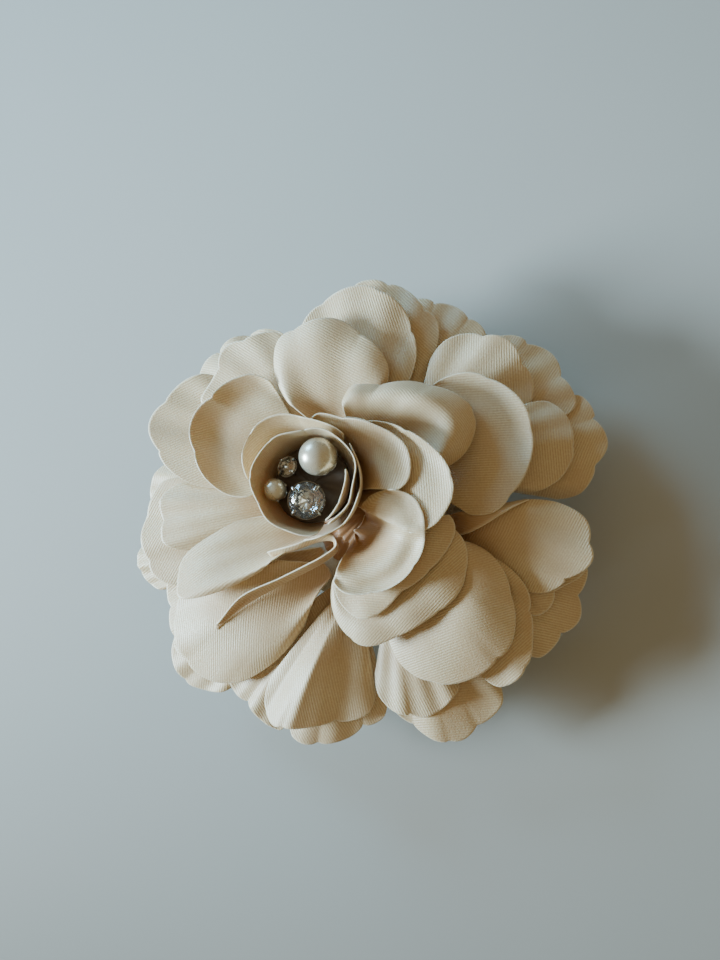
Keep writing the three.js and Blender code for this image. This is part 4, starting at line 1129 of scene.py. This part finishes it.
def sweepTube(path, radii, sides):
    # a round bar along a path, with capped ends; returns points and faces
    path = np.asarray(path, float)
    ahead = np.gradient(path, axis=0)
    ahead /= np.linalg.norm(ahead, axis=1, keepdims=True)
    across = np.cross(ahead[0], (0.1, 0.2, 1.0))
    points, faces = [], []
    for k, (point, direction) in enumerate(zip(path, ahead)):
        across = across - direction * (across @ direction)
        across /= np.linalg.norm(across)
        third = np.cross(direction, across)
        for m in range(sides):
            turn = 2 * math.pi * m / sides
            points.append(point + radii[k] * (math.cos(turn) * across + math.sin(turn) * third))
    for k in range(len(path) - 1):
        for m in range(sides):
            n = (m + 1) % sides
            faces.append([k * sides + m, k * sides + n, (k + 1) * sides + n, (k + 1) * sides + m])
    faces.append(list(reversed(range(sides))))
    faces.append([(len(path) - 1) * sides + m for m in range(sides)])
    return points, faces


def makeSetting(name, look):
    # metal cup round the stone, with prongs bent over its girdle
    radius, cut = look["radius"], settingShape
    inside = radius + cut["gap"]
    out = inside + cut["wall"]
    profile = roundOff([
        (0, radius * cut["footZ"]), (radius * cut["foot"], radius * cut["footZ"]),
        (out * 0.93, radius * cut["bellyZ"]), (out, radius * cut["rimZ"]), (out, cut["rim"]),
        (inside, cut["rim"]), (inside, -radius * 0.12),
        (radius * cut["well"], radius * cut["wellZ"]), (0, radius * cut["wellZ"])], cut["round"])
    points, faces = latheShape(profile, (0, 0), cut["segments"])
    bend = [(out - 0.1, -radius * 0.5), (out + 0.02, -radius * 0.1), (out, radius * 0.16),
            (radius * 0.97, radius * 0.33), (radius * 0.84, radius * 0.36),
            (radius * 0.76, radius * 0.335)]
    thick = cut["prongWidth"] * radius / 3.75 + 0.12
    shares = np.linspace(0, 1, cut["prongSteps"])
    radii = [thick * s for s in np.interp(shares, [0, 0.5, 0.85, 1], [1, 1.05, 1.25, 0.75])]
    for k in range(cut["prongs"]):
        turn = (k + 0.5) * 2 * math.pi / cut["prongs"]
        line = curveAt([(math.cos(turn) * r, math.sin(turn) * r, z) for r, z in bend], shares)
        more, sheets = sweepTube(line, radii, 10)
        faces += [[q + len(points) for q in face] for face in sheets]
        points += [tuple(p) for p in more]
    obj = addObject(name + "_cup", leanOver(points, look), faces, darkPlate)
    settle(obj, "flower", "plated_metal", name + "_setting")


def makeBeads():
    for name, look in beads.items():
        if "lean" in look:
            makeStone(name, look)
            makeSetting(name, look)
        else:
            makePearl(name, look)
    print("pearls and stones set")


makeBeads()


# ---- clip ----
clipShape = {"pivotX": -6.0, "pivotZ": 8.6, "armBottom": 11.9, "jawBottom": 2.7,
             "plate": 0.8, "gap": 0.3, "bevel": 0.1, "bevelAngle": 35, "weld": 0.002}
# spring wire: coil and wire radius, half the coil's length, legs back from the pin, all in mm
springShape = {"coil": 1.75, "wire": 0.35, "half": 2.2, "turns": 4.5, "steps": 90, "lead": 0.62,
               "legEnd": 8.5, "legBend": 4.5, "armDrop": 0.3, "bendLift": 2.3, "endLift": 0.6}


def finishClipNodes():
    for name in ("clip_top_arm", "clip_jaw", "clip_pin"):
        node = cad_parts[name]
        node.data.materials.clear()
        node.data.materials.append(clipNickel)
        for polygon in node.data.polygons:
            polygon.use_smooth = True
        weld = node.modifiers.new("weld", "WELD")
        weld.merge_threshold = clipShape["weld"] * mm
        bevel = node.modifiers.new("softEdges", "BEVEL")
        bevel.width = clipShape["bevel"] * mm
        bevel.segments = 2
        bevel.limit_method = "ANGLE"
        bevel.angle_limit = math.radians(clipShape["bevelAngle"])
        normals = node.modifiers.new("evenShade", "WEIGHTED_NORMAL")
        normals.keep_sharp = False


def makeSpring():
    # torsion spring: one leg under the top arm, a coil round the pin, one leg on the jaw
    look, half, wire = springShape, springShape["half"], springShape["wire"]
    pivotX, pivotZ = clipShape["pivotX"], clipShape["pivotZ"]
    armLeg = clipShape["armBottom"] - clipShape["gap"] - wire
    path = [(pivotX - look["legEnd"], -half, armLeg),
            (pivotX - look["legBend"], -half, armLeg - look["armDrop"])]
    for k in range(look["steps"] + 1):
        turn = math.pi * look["lead"] - look["turns"] * 2 * math.pi * k / look["steps"]
        path.append((pivotX + math.cos(turn) * look["coil"], -half + 2 * half * k / look["steps"],
                     pivotZ + math.sin(turn) * look["coil"]))
    jawLeg = clipShape["jawBottom"] + clipShape["plate"] + wire
    path.append((pivotX - look["legBend"], half, jawLeg + look["bendLift"]))
    path.append((pivotX - look["legEnd"], half, jawLeg + look["endLift"]))
    line = curveAt(path, np.linspace(0, 1, 420))
    points, faces = sweepTube(line, [wire] * len(line), 12)
    spring = addObject("clip_spring_wire", points, faces, springWireSteel)
    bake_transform(spring)
    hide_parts("clip_spring")


finishClipNodes()
makeSpring()
print("clip finished")


# ---- floor ----
paleFloor = {"reach": 1.6, "below": 0.0002}   # metres


def makeFloor():
    mesh = bpy.data.meshes.new("paleFloor")
    reach = paleFloor["reach"]
    corners = [(-reach, -reach, 0), (reach, -reach, 0), (reach, reach, 0), (-reach, reach, 0)]
    mesh.from_pydata(corners, [], [(0, 1, 2, 3)])
    mesh.materials.append(floorPaint)
    floor = bpy.data.objects.new("paleFloor", mesh)
    floor.location.z = -paleFloor["below"]
    bpy.context.scene.collection.objects.link(floor)


makeFloor()
